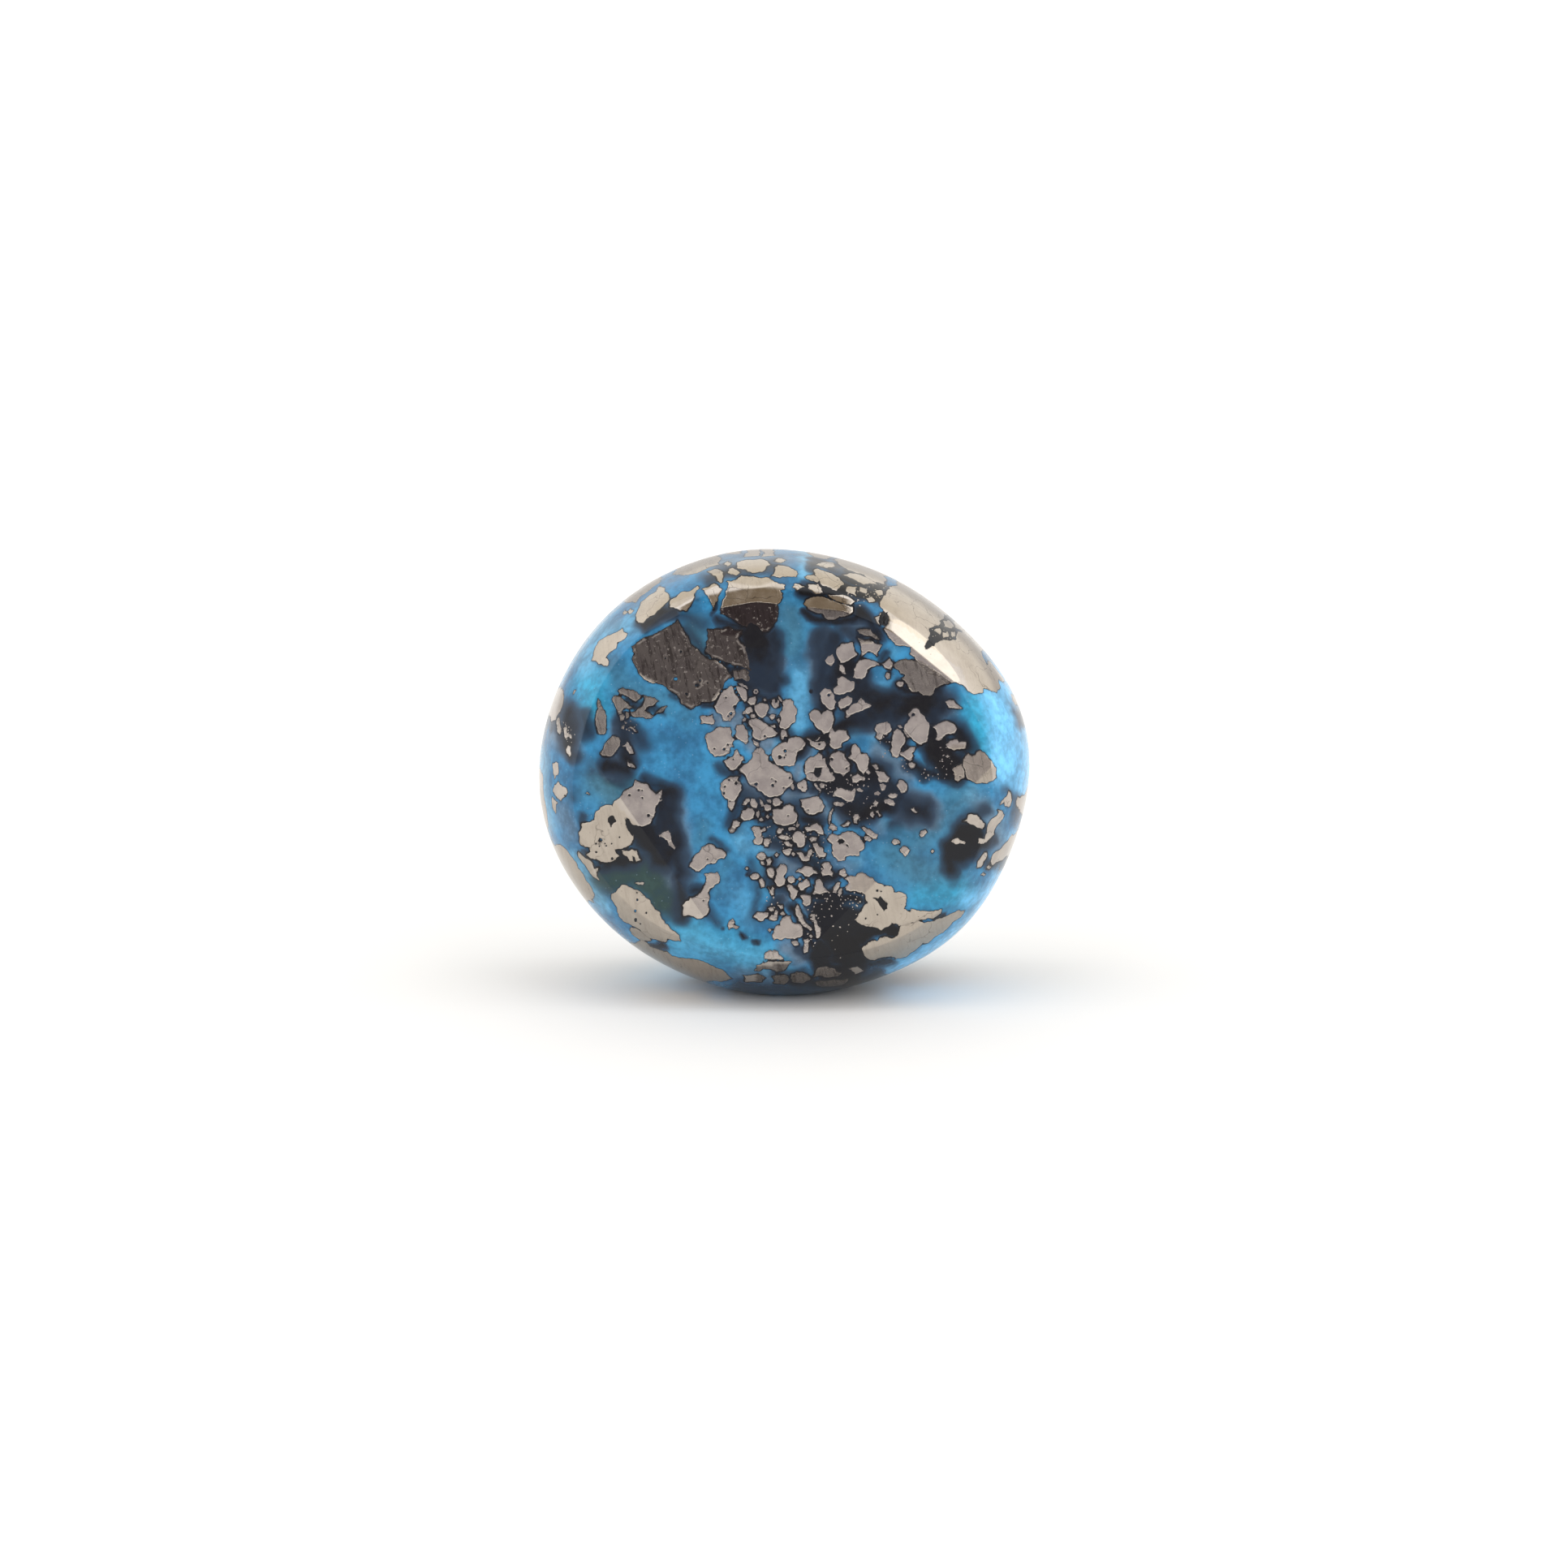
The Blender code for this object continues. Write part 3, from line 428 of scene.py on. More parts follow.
-7.72,4.52 -7.46,4.7 -7.26,4.95 -6.91,4.85 -6.45,4.67 -6.02,4.3 -5.9,4.07 -5.54,3.72 -5.49,3.51 -5.29,3.21
-5.04,2.96 -4.68,2.68 -4.61,2.43 -4.89,2.45 -5.19,2.55 -5.29,2.38 -5.64,2.48 -5.95,2.55 -6.2,2.68
-6.45,2.96 -6.76,3.11 -7.16,3.31 -7.44,3.72 -7.56,4.07 -7.72,4.32;
-6.85,3.05 -6.6,3.0 -6.3,2.83 -6.0,2.58 -5.95,2.45 -6.3,2.45 -6.6,2.6 -6.8,2.75;
-6.65,5.03 -6.45,5.05 -6.25,5.05 -6.3,4.95 -6.5,4.96;
4.65,14.15 4.55,14.3 4.62,14.47 4.75,14.42 4.77,14.2;
5.05,13.97 5.15,14.07 5.35,14.05 5.35,13.85 5.2,13.82;
3.3,16.05 4.0,15.85 4.4,15.7 4.2,15.2 3.75,15.4 3.5,15.2;
2.35,15.4 2.6,15.75 3.1,15.8 3.3,15.25 2.9,15.0 2.55,14.9;
1.85,15.0 2.0,15.2 2.2,15.28 2.3,15.05 2.1,14.75;
2.5,14.8 2.65,14.78 2.8,14.4 2.5,14.55;
3.15,14.6 3.4,15.0 3.75,15.05 4.3,14.8 3.75,14.6 3.5,14.15 3.1,14.25;
4.4,14.85 4.75,15.12 4.88,14.9 4.8,14.6 4.55,14.65;
7.24,13.15 7.41,13.23 7.64,13.2 7.74,13.05 8.0,12.86 7.84,12.84 7.4,12.88;
8.15,10.72 8.27,10.84 8.42,10.72 8.6,10.77 8.68,10.92 8.8,10.98 9.01,10.87 9.16,10.66 9.36,10.41
9.51,10.21 9.54,9.76 9.31,9.6 9.11,9.5 8.8,9.5 8.45,9.6 8.2,9.76 8.15,10.01 8.02,10.36;
7.97,10.38 8.1,10.05 8.1,9.75 8.0,9.72 7.8,9.57 7.68,9.65 7.65,9.9 7.55,10.1 7.62,10.2 7.8,10.3;
7.25,10.72 7.35,10.78 7.45,10.7 7.35,10.64;
""")
RIM_CHIPS = outlines("""
-2.55,18.55 -2.15,18.6 -1.9,18.8 -1.2,18.72 -0.7,18.72 -0.3,18.5 0.05,18.4 0.03,18.2 -0.15,18.15
-0.05,17.85 -0.3,17.5 -0.25,17.1 -0.3,16.8 -0.7,16.3 -0.95,16.28 -1.1,16.5 -1.45,16.7 -1.65,16.5
-2.0,16.65 -2.5,17.0 -2.8,17.1 -2.75,17.6 -2.6,18.1 -2.5,18.25;
-7.22,16.45 -7.0,16.2 -7.1,16.0 -7.45,15.82 -7.5,15.55 -7.75,15.4 -7.97,15.1 -7.83,14.95 -7.88,14.77
-8.3,14.85 -8.6,15.0 -8.5,15.4 -8.3,15.85 -7.8,16.12;
-5.55,18.35 -5.3,18.25 -5.15,17.95 -5.15,17.7 -5.35,17.5 -5.8,17.05 -6.0,16.98 -6.3,16.68 -6.47,16.7
-6.5,17.3 -6.4,17.6 -6.1,17.85 -5.7,18.1;
-6.95,17.6 -6.6,17.62 -6.45,17.85 -6.0,18.15 -5.55,18.5 -5.8,19.2 -6.8,18.6 -7.4,18.0;
-6.97,17.2 -6.85,17.34 -6.72,17.24 -6.85,17.1;
-7.2,17.15 -7.1,17.27 -7.0,17.17 -7.1,17.07;
-5.1,17.65 -4.6,18.05 -4.2,18.1 -3.85,18.35 -3.78,18.25 -4.0,18.0 -4.1,17.6 -4.35,17.22 -4.8,17.33
-5.1,17.4;
-4.95,18.85 -4.1,18.87 -3.6,19.05 -2.9,19.3 -2.85,19.5 -2.9,20.3 -4.0,20.0 -5.2,19.5;
-3.65,18.2 -3.1,18.45 -2.75,18.2 -2.95,17.7 -3.15,17.3 -3.4,17.9;
-3.4,19.0 -3.1,19.1 -2.85,19.05 -2.7,18.8 -2.8,18.48 -3.2,18.85;
-2.45,19.1 -2.3,19.15 -1.97,18.92 -2.1,18.82 -2.5,18.95;
-2.1,19.4 -1.5,19.52 -1.05,19.55 -0.6,19.3 -0.95,18.98 -1.4,18.93 -2.1,19.15;
-0.25,19.28 0.6,19.0 0.55,18.75 -0.2,18.72 -0.55,18.8 -0.4,19.15;
-2.65,19.3 -2.5,19.45 -2.35,19.35 -2.5,19.22;
-0.4,19.45 -0.25,19.6 0.1,19.5 -0.1,19.38;
-2.6,19.75 -1.85,19.8 -1.85,20.4 -2.6,20.2;
-1.75,19.65 -1.1,19.7 -1.1,20.5 -1.7,20.4;
-1.0,19.65 -0.4,19.7 -0.4,20.4 -0.95,20.4;
0.4,18.3 0.5,18.45 0.95,18.3 0.6,18.15;
0.95,18.75 1.35,18.83 1.6,18.65 1.5,18.5;
1.35,19.0 1.5,19.12 2.0,18.95 2.5,18.7 2.7,18.4 2.35,18.12 1.75,18.35 1.4,18.85;
1.1,18.4 1.55,18.43 1.75,18.05 1.45,17.98 1.1,18.25;
2.0,17.95 2.65,17.95 3.2,17.65 3.0,17.5 2.2,17.75;
0.9,17.55 1.2,17.8 1.5,17.87 2.1,17.7 3.1,17.4 3.0,17.1 2.5,16.98 2.0,16.83 1.75,17.1 1.2,17.25;
2.85,18.3 3.3,18.3 3.25,17.88 2.8,18.1;
3.4,18.3 3.75,18.2 3.7,18.0 3.4,18.1;
3.7,17.8 3.95,17.9 4.1,17.7 3.85,17.6;
4.1,18.1 4.4,18.15 4.45,17.95 4.2,17.9;
2.45,19.35 2.9,19.05 3.6,18.85 4.1,18.5 4.5,18.42 4.5,18.75 4.9,18.8 5.2,19.0 4.2,19.9 2.4,20.6 2.2,19.9
2.5,19.6;
1.35,19.65 1.8,19.55 2.05,19.6 2.1,19.85 2.1,20.5 1.4,20.5;
1.45,19.3 1.7,19.4 2.2,19.4 2.3,19.25 1.9,19.15;
2.65,18.85 3.3,18.55 3.6,18.4 4.2,18.4 3.9,18.65 3.2,18.9;
4.35,17.4 4.45,17.85 4.75,18.2 5.1,18.35 5.05,18.65 5.4,18.8 6.5,18.7 7.6,17.9 8.0,17.2 7.5,16.95
7.25,17.15 7.1,16.85 7.0,16.6 6.65,16.5 6.5,16.4 6.35,15.5 7.75,15.95 8.0,16.25 8.5,16.75 9.1,16.1
9.2,15.4 8.9,15.2 9.1,14.8 9.3,14.9 9.6,14.5 9.85,14.2 9.51,13.57 9.26,13.67 8.98,13.77 8.9,13.55 8.5,13.5
8.22,13.69 8.05,13.9 7.45,14.02 7.0,14.25 6.0,14.95 5.65,15.3 5.7,15.6 5.0,15.7 4.5,16.4 4.7,16.75;
4.1,16.9 4.35,17.15 4.3,16.6;
7.15,16.75 7.4,16.8 7.6,16.6 7.45,16.45 7.2,16.5;
7.65,16.75 7.9,16.8 8.1,16.55 7.85,16.4 7.65,16.5;
6.75,16.38 7.0,16.45 7.05,16.22 6.8,16.18;
7.12,16.25 7.35,16.3 7.4,16.08 7.15,16.02;
7.5,16.28 7.68,16.3 7.7,16.12 7.52,16.1;
3.3,16.35 3.9,16.4 4.3,15.95 3.4,16.2;
10.2,13.45 10.3,13.5 10.9,13.5 10.9,12.9 10.52,12.97 10.4,13.0 10.25,13.2;
9.69,8.54 9.84,8.77 9.99,8.92 10.07,9.15 10.13,9.12 10.22,8.75 10.14,8.47 9.91,8.49 9.89,8.69;
8.02,7.79 8.22,7.89 8.27,8.09 8.65,8.09 8.78,7.89 9.01,7.68 8.9,7.46 8.6,7.58 8.35,7.68 8.22,7.79;
9.89,8.09 9.81,7.89 9.51,7.53 9.41,7.28 9.43,7.2 9.21,7.0 8.95,6.8 8.7,6.82 8.75,7.05 9.01,7.0 9.11,7.28
9.21,7.74 9.46,7.99 9.64,8.19 9.56,8.32 9.76,8.29;
10.42,8.7 10.5,8.9 10.7,8.95 11.5,8.9 11.3,7.8 10.6,8.2;
10.22,7.2 10.07,6.95 9.76,6.59 9.51,6.44 9.36,6.29 9.28,5.99 9.38,5.84 9.71,6.04 9.97,6.24 10.9,6.4
11.0,7.2;
8.65,5.7 8.7,6.0 8.85,6.2 9.0,6.4 9.1,6.4 9.1,6.2 8.95,6.0 8.85,5.75;
8.83,5.4 8.95,5.5 9.05,5.42 8.95,5.35;
9.1,5.75 9.2,5.85 9.3,5.75 9.2,5.65;
3.5,2.1 3.8,2.38 4.16,2.43 4.51,2.63 4.81,2.55 5.07,2.65 5.19,2.91 5.22,3.08 5.72,3.23 6.03,3.33 6.5,3.3
6.98,3.46 7.54,3.66 7.84,3.82 8.12,3.81 7.94,3.51 7.54,3.26 7.14,2.81 6.73,2.6 6.48,2.35 6.23,2.35
6.03,2.15 5.67,1.9 5.47,1.72 5.02,1.64 4.81,1.75 4.51,1.72 4.06,1.57 3.8,1.64 3.6,1.85;
-0.85,1.75 -0.8,1.92 -0.6,2.02 -0.4,2.02 -0.25,1.95 -0.2,1.8 -0.1,1.75 0.0,1.65 -0.1,1.6 -0.3,1.62
-0.6,1.62 -0.85,1.64;
-0.95,1.45 -0.6,1.52 0.0,1.5 0.35,1.5 0.2,1.35 0.1,1.2 -0.1,1.08 -0.3,1.05 -0.5,1.15 -0.95,1.2 -1.05,1.1
-1.3,1.12 -1.2,1.35;
1.3,0.8 1.5,1.2 1.9,1.3 2.3,1.2 2.6,1.0 2.4,0.85 2.0,0.8 1.6,0.9;
0.35,0.95 0.6,1.05 1.05,0.95 1.2,0.7 0.9,0.55 0.4,0.6;
-0.5,0.85 0.1,0.9 0.25,0.7 0.0,0.5 -0.45,0.55;
1.5,0.65 2.2,0.7 2.9,0.75 2.7,0.5 2.0,0.4 1.5,0.45;
-1.8,0.9 -1.2,0.95 -0.8,0.8 -1.0,0.6 -1.7,0.6;
2.9,1.2 3.3,1.3 3.6,1.1 3.2,0.95;
-9.18,6.44 -9.03,6.27 -8.78,6.11 -8.57,5.94 -8.5,5.68 -8.27,5.71 -8.4,5.53 -8.37,5.33 -8.25,5.15
-8.47,5.28 -8.67,5.48 -8.83,5.74 -9.03,5.99 -9.2,6.22;
-9.99,13.8 -9.88,13.64 -9.88,13.14 -9.99,12.74 -10.11,12.58 -10.22,12.33 -10.37,12.28 -10.42,12.48
-11.2,12.6 -11.0,13.4 -10.6,14.0;
-10.15,12.4 -10.05,12.45 -10.0,12.1 -9.95,11.95 -10.02,11.7 -10.1,11.75 -10.15,12.1;
-9.87,11.98 -9.7,12.0 -9.7,11.75 -9.5,11.65 -9.5,11.5 -9.6,11.6 -9.7,11.55 -9.78,11.5;
-9.75,11.0 -9.65,11.2 -9.55,11.15 -9.53,10.75 -9.6,10.7 -9.7,10.85;
-10.35,10.4 -10.2,10.45 -10.1,10.4 -10.08,10.1 -10.1,9.9 -10.2,9.85 -10.25,9.7 -10.32,10.0;
-10.11,9.58 -10.01,9.43 -9.76,9.3 -9.68,9.1 -9.79,8.92 -9.99,8.72 -10.14,8.85 -10.34,9.15;
-10.36,8.9 -10.2,8.7 -10.12,8.62 -10.2,8.5 -10.2,8.15 -10.3,8.3 -10.37,8.6;
-9.43,13.5 -9.38,13.66 -9.3,13.68 -9.38,13.52;
-8.85,9.05 -8.78,9.1 -8.68,9.0;
-10.95,10.1 -10.8,9.9 -10.75,9.0 -10.65,8.5 -10.55,7.6 -10.49,7.1 -10.04,6.75 -9.74,6.54 -9.53,6.24
-9.26,5.89 -9.2,5.68 -8.98,5.43 -8.88,5.18 -8.62,4.83 -8.5,4.57 -8.62,4.32 -8.5,4.17 -9.4,3.4 -10.6,5.0
-11.4,7.0 -11.7,9.0;
-6.4,2.55 -6.0,2.2 -5.24,1.97 -4.99,1.75 -4.38,1.65 -3.88,1.6 -3.34,1.39 -2.74,1.14 -2.33,0.76 -2.99,0.65
-3.6,0.3 -5.2,0.6 -6.8,1.5;
""")

# Openings in the chips, where the dark matrix shows
CHIP_HOLES = outlines("""
1.13,9.98 1.35,9.99 1.4,10.21 1.76,10.21 1.71,10.01 1.53,9.76 1.35,9.93;
2.4,6.9 2.48,7.0 2.63,7.02 2.74,6.93 2.66,6.8 2.5,6.77;
2.78,6.78 2.86,6.76 2.92,6.64 2.82,6.68;
3.98,4.37 4.21,4.34 4.33,4.45 4.48,4.27 4.66,4.12 4.64,3.87 4.48,3.77 4.31,4.02 4.21,4.22;
-7.82,7.99 -7.64,8.06 -7.49,7.79 -7.72,7.52 -7.87,7.76;
-7.12,7.95 -6.98,7.8 -6.82,7.5 -6.8,7.25 -6.93,7.42 -7.08,7.75;
4.4,16.65 4.55,16.6 4.72,16.85 4.68,17.2 4.5,17.1;
6.7,16.35 6.95,16.2 7.2,15.95 6.9,15.8 6.6,15.8;
""")
# Pits in the chips, as x,z,radius
CHIP_PITS = vec("""
-2.58,13.33,.05 -2.2,12.95,.06 -2.36,12.62,.09 -2.47,12.5,.05 -3.1,11.05,.05 -2.66,11.03,.07 -2.5,11.23,.05
-2.25,10.57,.04 -2.45,9.65,.05 -2.12,9.5,.07 -2.63,9.35,.05 -2.67,9.05,.06 -2.4,8.7,.04 -1.23,9.46,.09
-0.48,9.4,.07 -0.35,9.58,.05 -0.53,9.7,.04 0.27,9.75,.05 0.0,9.3,.04 -0.85,11.62,.06 0.07,10.95,.08
-0.17,10.68,.09 0.03,10.66,.05 0.1,10.77,.04 1.6,11.25,.06 2.01,13.45,.08 5.8,12.57,.08 2.15,10.58,.07
2.82,10.16,.05 -6.9,8.97,.07 -6.32,8.85,.05 -6.5,9.2,.05 -6.33,9.18,.04 -6.05,8.05,.08 -5.5,8.8,.05
-8.22,6.95,.1 -8.4,6.8,.05 -8.25,6.68,.04 -8.0,6.8,.04 -7.95,6.7,.04 -8.4,6.42,.05 -7.67,6.12,.07
-7.7,6.8,.04 -7.35,7.08,.04 -6.57,4.6,.04 -6.55,4.28,.07 -6.65,3.77,.07 -6.63,3.38,.08 -6.42,3.2,.04
-6.15,3.7,.05 3.68,3.45,.05 4.2,3.62,.04 4.2,4.7,.06 4.36,4.66,.04 1.1,8.3,.04 0.2,8.05,.04
-4.85,14.17,.1 -4.35,13.5,.07 -3.88,13.9,.1 -3.75,14.1,.05 -3.4,14.0,.04 -5.3,15.1,.05 -4.6,15.4,.06
1.22,13.62,.03 -1.24,13.61,.05 7.9,9.8,.03 3.5,4.6,.03 -3.6,4.25,.04 -3.4,6.1,.04 -9.8,8.95,.04
""")

# Strokes of each shade: half its width, its blur and its strength, which is 1 where none is given,
# then points along it
MATRIX = table("""
0.35 0.4 0.55: -4.9,17.2 -4.2,16.9 -3.6,16.6;
0.5 0.5 0.22: 0.1,17.4 0.5,16.7;
0.3 0.5 0.18: -8.0,14.9 -7.4,14.0;
0.3 0.6 0.16: 5.2,7.2 6.2,6.4 7.0,5.8;
""", Stroke)
# In the openings of the chips
MATRIX += table("""
0.35 0.05: 4.1,4.3 4.6,4.0;
0.3 0.05: 4.7,3.0 5.1,2.85;
0.4 0.05: -7.7,7.8;
0.22 0.05: -7.0,7.9 -6.85,7.4;
0.3 0.05: 1.3,10.1 1.65,10.0;
0.25 0.05: 2.55,6.9 2.85,6.75;
0.35 0.05: 4.55,16.9;
""", Stroke)
# Elsewhere; the strokes along the foot, below z 1, are partly painted shade, where the underside mirrors
# the shadow on the floor
MATRIX += table("""
0.8 0.35: -1.3,16.2 -1.15,15.4 -1.0,14.2;
0.4 0.3 0.9: -0.5,16.2 -0.4,14.2;
0.3 0.3: -0.1,14.1;
0.14 0.12 0.9: -3.3,14.6 -2.6,14.75 -2.0,14.5;
0.33 0.25: -6.3,16.6 -5.6,17.0 -4.9,17.2;
0.28 0.3 0.5: -4.4,16.5 -3.8,15.8 -3.5,15.3;
0.1 0.1 0.8: -3.0,17.6 -3.2,17.0;
0.25 0.2 0.9: -2.9,16.75 -1.7,16.5;
0.14 0.15 0.6: -4.9,13.4 -4.3,12.85;
0.42 0.4 0.85: 1.7,16.2 1.6,15.3;
0.2 0.14: 0.95,17.15 1.9,16.75 3.1,16.85 3.4,17.1;
0.32 0.25: 3.3,17.2 3.9,16.6 4.3,16.2;
0.35 0.4 0.8: 2.6,16.4 3.6,16.1;
0.42 0.25: -1.5,13.9 -0.4,13.9;
0.3 0.3 0.9: -1.6,13.3 -0.3,13.3;
0.22 0.2: -3.5,13.05 -2.9,13.1;
0.48 0.35 0.95: 1.9,12.9 1.7,13.9 1.9,15.0 2.2,15.9;
0.6 0.3: 2.0,13.5 2.5,14.2 2.4,15.0;
0.62 0.3: 2.4,15.0 3.1,14.6 3.4,13.7;
0.55 0.35: 3.0,13.2 3.9,13.4 4.4,13.1;
0.2 0.2 0.8: 4.3,14.9 4.6,15.3;
0.15 0.2 0.7: 4.8,14.5 4.9,14.9;
0.42 0.3: 1.4,11.5 3.0,12.2 4.2,12.7;
0.8 0.45: 3.3,12.6 4.4,12.8 5.6,12.9 6.8,13.1;
0.35 0.3: 5.2,13.8 6.2,13.6 7.0,13.6;
0.35 0.45 0.7: 6.5,13.0 7.4,13.4;
0.4 0.3: 6.7,12.7 6.8,11.5;
0.45 0.35: 7.8,11.9 8.2,11.0;
0.32 0.25: 0.7,11.0 1.1,11.4 1.9,11.6;
0.28 0.25: 1.9,11.3 2.0,10.4 3.0,10.9;
0.3 0.25: 2.9,10.3 2.3,9.6 1.4,9.4;
0.75 0.3: 2.3,9.5 3.2,9.6 4.1,9.9 4.5,9.3 4.8,8.8;
0.75 0.3: 4.2,8.7 3.4,8.3 2.8,8.7;
0.25 0.3 0.75: 4.5,8.5 5.2,8.7;
0.6 0.45 0.95: 5.5,8.5 6.2,8.2;
0.3 0.35 0.6: 5.0,7.6 5.4,8.0;
0.45 0.45 0.75: -1.9,9.0 -0.5,8.4 1.0,8.3;
0.35 0.3: 0.9,7.9 1.5,7.8;
0.35 0.35 0.85: -1.3,8.2 -0.6,7.7;
0.35 0.3 0.9: 0.0,7.4 1.2,7.0 1.7,6.8;
0.36 0.35 0.85: -0.5,7.0 0.2,6.6 1.2,6.0 1.6,5.8;
0.35 0.25: 1.2,5.6 1.7,5.3 2.3,5.3;
0.26 0.25 0.85: -0.6,6.0 -0.6,5.0 0.2,4.7 0.9,4.6;
0.3 0.2: 1.4,4.5 2.4,4.4 3.3,4.3;
0.9 0.2: 2.1,3.6 2.6,3.2 3.2,3.0;
0.85 0.25: 2.6,2.2 3.2,1.6;
0.22 0.1: 3.6,2.8 4.6,2.95 5.0,2.8;
0.45 0.2: 1.5,3.9 1.9,2.6;
0.6 0.25: 1.6,1.9 2.0,1.0 3.0,0.8;
0.2 0.2: 3.9,1.35 4.8,1.5;
0.35 0.3 0.95: 0.3,0.7 1.5,0.5 3.2,0.5 4.2,0.9;
0.35 0.3 0.62: -2.0,0.4 0.0,0.3 2.0,0.2;
0.2 0.2 0.6: -0.5,0.95 0.9,1.0;
0.25 0.2: 0.4,3.9 0.9,3.2 1.2,2.7 1.3,2.2;
0.2 0.2 0.8: 0.7,2.0 1.4,1.6;
0.3 0.3 0.8: -0.2,4.2 -0.5,3.8;
0.3 0.25: 4.6,11.4 5.4,11.1 5.3,11.9;
0.75 0.3: 6.8,11.3 7.2,10.6 7.7,10.2;
0.25 0.25: 5.5,10.3 6.4,9.9 7.4,9.8;
0.3 0.3: 7.0,11.9 7.9,11.7;
0.8 0.28: 7.9,6.6 8.4,7.2;
0.38 0.3: 7.4,6.7 7.5,5.6;
0.15 0.3 0.5: 7.5,5.5 7.6,5.0;
0.35 0.35 0.7: 8.5,8.0 9.0,8.3;
0.28 0.25: 8.3,6.2 9.2,7.0;
0.25 0.25 0.75: 8.9,6.0 9.5,5.8 9.9,6.3;
0.28 0.3 0.9: -7.4,12.3 -6.8,12.0;
0.42 0.35: -7.2,12.0 -7.1,11.2 -6.95,10.5;
0.35 0.4 0.75: -6.7,11.9 -6.3,11.3;
0.16 0.15 0.65: -6.9,13.2 -6.1,12.9 -5.5,12.7;
0.42 0.35: -8.0,10.3 -7.2,10.1;
0.3 0.35 0.5: -8.7,10.1;
0.22 0.25 0.9: -6.2,9.7 -5.7,9.5 -5.3,9.4 -5.1,9.0;
0.62 0.28: -5.2,8.9 -5.3,7.8 -5.1,6.7;
0.72 0.35: -6.4,7.4 -5.8,6.8 -5.4,6.2;
0.5 0.4 0.9: -4.9,6.4 -4.6,5.4;
0.38 0.4 0.9: -4.6,5.0 -4.5,4.1 -4.6,3.6;
0.3 0.3 0.9: -4.0,4.7 -3.8,4.6;
0.2 0.3 0.6: -3.3,3.7 -3.0,3.3;
0.18 0.2 0.8: -9.0,7.9 -8.9,6.9;
0.3 0.4 0.5: -9.4,8.9;
0.4 0.4 0.8: -8.9,12.5 -8.8,11.8;
0.45 0.35: -9.6,12.7 -9.6,11.2;
0.35 0.3 0.9: -9.5,11.0 -9.4,10.7;
0.25 0.3 0.65: -10.2,13.3 -10.3,12.0;
0.2 0.2 0.9: -9.0,6.4 -8.4,5.7;
0.4 0.35: -7.9,6.0 -6.7,6.1;
0.25 0.3 0.55: -7.8,9.7 -7.3,9.5;
0.18 0.25 0.65: -3.2,7.0 -2.6,6.5;
0.32 0.3 0.75: -2.2,7.6 -2.0,8.6 -1.9,9.2;
0.3 0.3 0.7: -2.7,10.2 -2.0,10.0;
0.35 0.3 0.7: -1.2,12.1 -0.2,11.9 0.6,11.2;
0.3 0.3 0.7: -0.6,10.2 0.6,9.2;
0.2 0.3 0.55: -1.3,5.9 -1.2,4.6 -1.3,3.4;
0.13 0.08: -1.43,2.4 -1.2,2.35;
0.09 0.07: -1.9,2.75 -1.78,2.6;
0.05 0.05: -2.95,3.0 -2.85,3.03;
0.07 0.06: -1.65,5.4 -1.5,5.45;
0.15 0.15: -5.9,2.2 -5.3,2.25;
0.5 0.2: 6.5,15.7 7.2,16.1 7.5,16.8;
0.12 0.1: 6.75,3.5 7.1,3.62;
0.15 0.1: 6.2,2.4;
0.2 0.25 0.6: 10.0,9.2 10.5,8.7 10.4,7.9;
0.2 0.2 0.7: 9.8,5.8 10.2,6.6;
0.25 0.25 0.65: 10.6,12.6 10.7,12.2;
0.3 0.3 0.7: -3.4,18.6 -2.4,19.0 -0.4,19.3;
0.15 0.2 0.45: -5.3,17.7 -3.9,17.7;
0.35 0.2: 0.9,18.1 2.6,18.2 4.3,17.9;
0.35 0.2: 2.8,18.8 4.3,18.3;
0.3 0.2 0.9: 1.3,19.3 2.4,19.2;
""", Stroke)
# Pale patches; the strokes along the left and upper-left rims are painted light, where those flats catch
# more light and sheen
PALE_AND_RIM_LIGHT = table("""
0.3 0.3 0.35: -2.6,11.9 -1.2,11.1 -0.2,11.2;
0.3 0.3 0.4: -1.2,6.9 -0.6,6.3;
0.25 0.25 0.4: 1.8,8.2 2.5,8.1;
0.35 0.3 0.5: 8.5,8.9 9.3,8.2 9.6,7.2;
0.3 0.3 0.35: 4.2,11.2 4.9,10.5;
0.45 0.4 0.4: 0.8,14.4 0.7,13.0 0.6,12.2;
0.3 0.3 0.45: 3.2,11.9;
0.15 0.2 0.5: 2.6,12.3;
0.35 0.3 0.5: 3.2,6.0;
0.28 0.22 0.55: 4.5,7.7;
0.5 0.6 0.3: -4.4,2.4 -2.5,2.0 -0.8,1.6;
0.4 0.4 0.4: -1.9,7.1 -1.7,6.7;
0.4 0.5 0.2: -2.0,4.6 -1.6,3.4;
0.3 0.3 0.3: 0.65,9.8;
0.25 0.3 0.3: 1.2,9.1;
0.35 0.4 0.25: 4.5,14.0;
0.25 0.3 0.25: 5.0,15.4;
0.5 0.5 0.5: -10.2,15.6 -9.2,17.0 -8.0,17.9;
0.4 0.35 0.6: -8.9,14.8 -8.3,16.3 -7.2,16.4 -6.4,16.9;
0.3 0.3 0.7: -10.9,10.8 -10.8,9.0 -10.5,7.6;
0.28 0.22 0.8: -9.3,6.2 -8.7,4.9 -8.0,4.0;
0.35 0.3 0.7: 1.0,19.9 1.0,18.9;
""", Stroke)
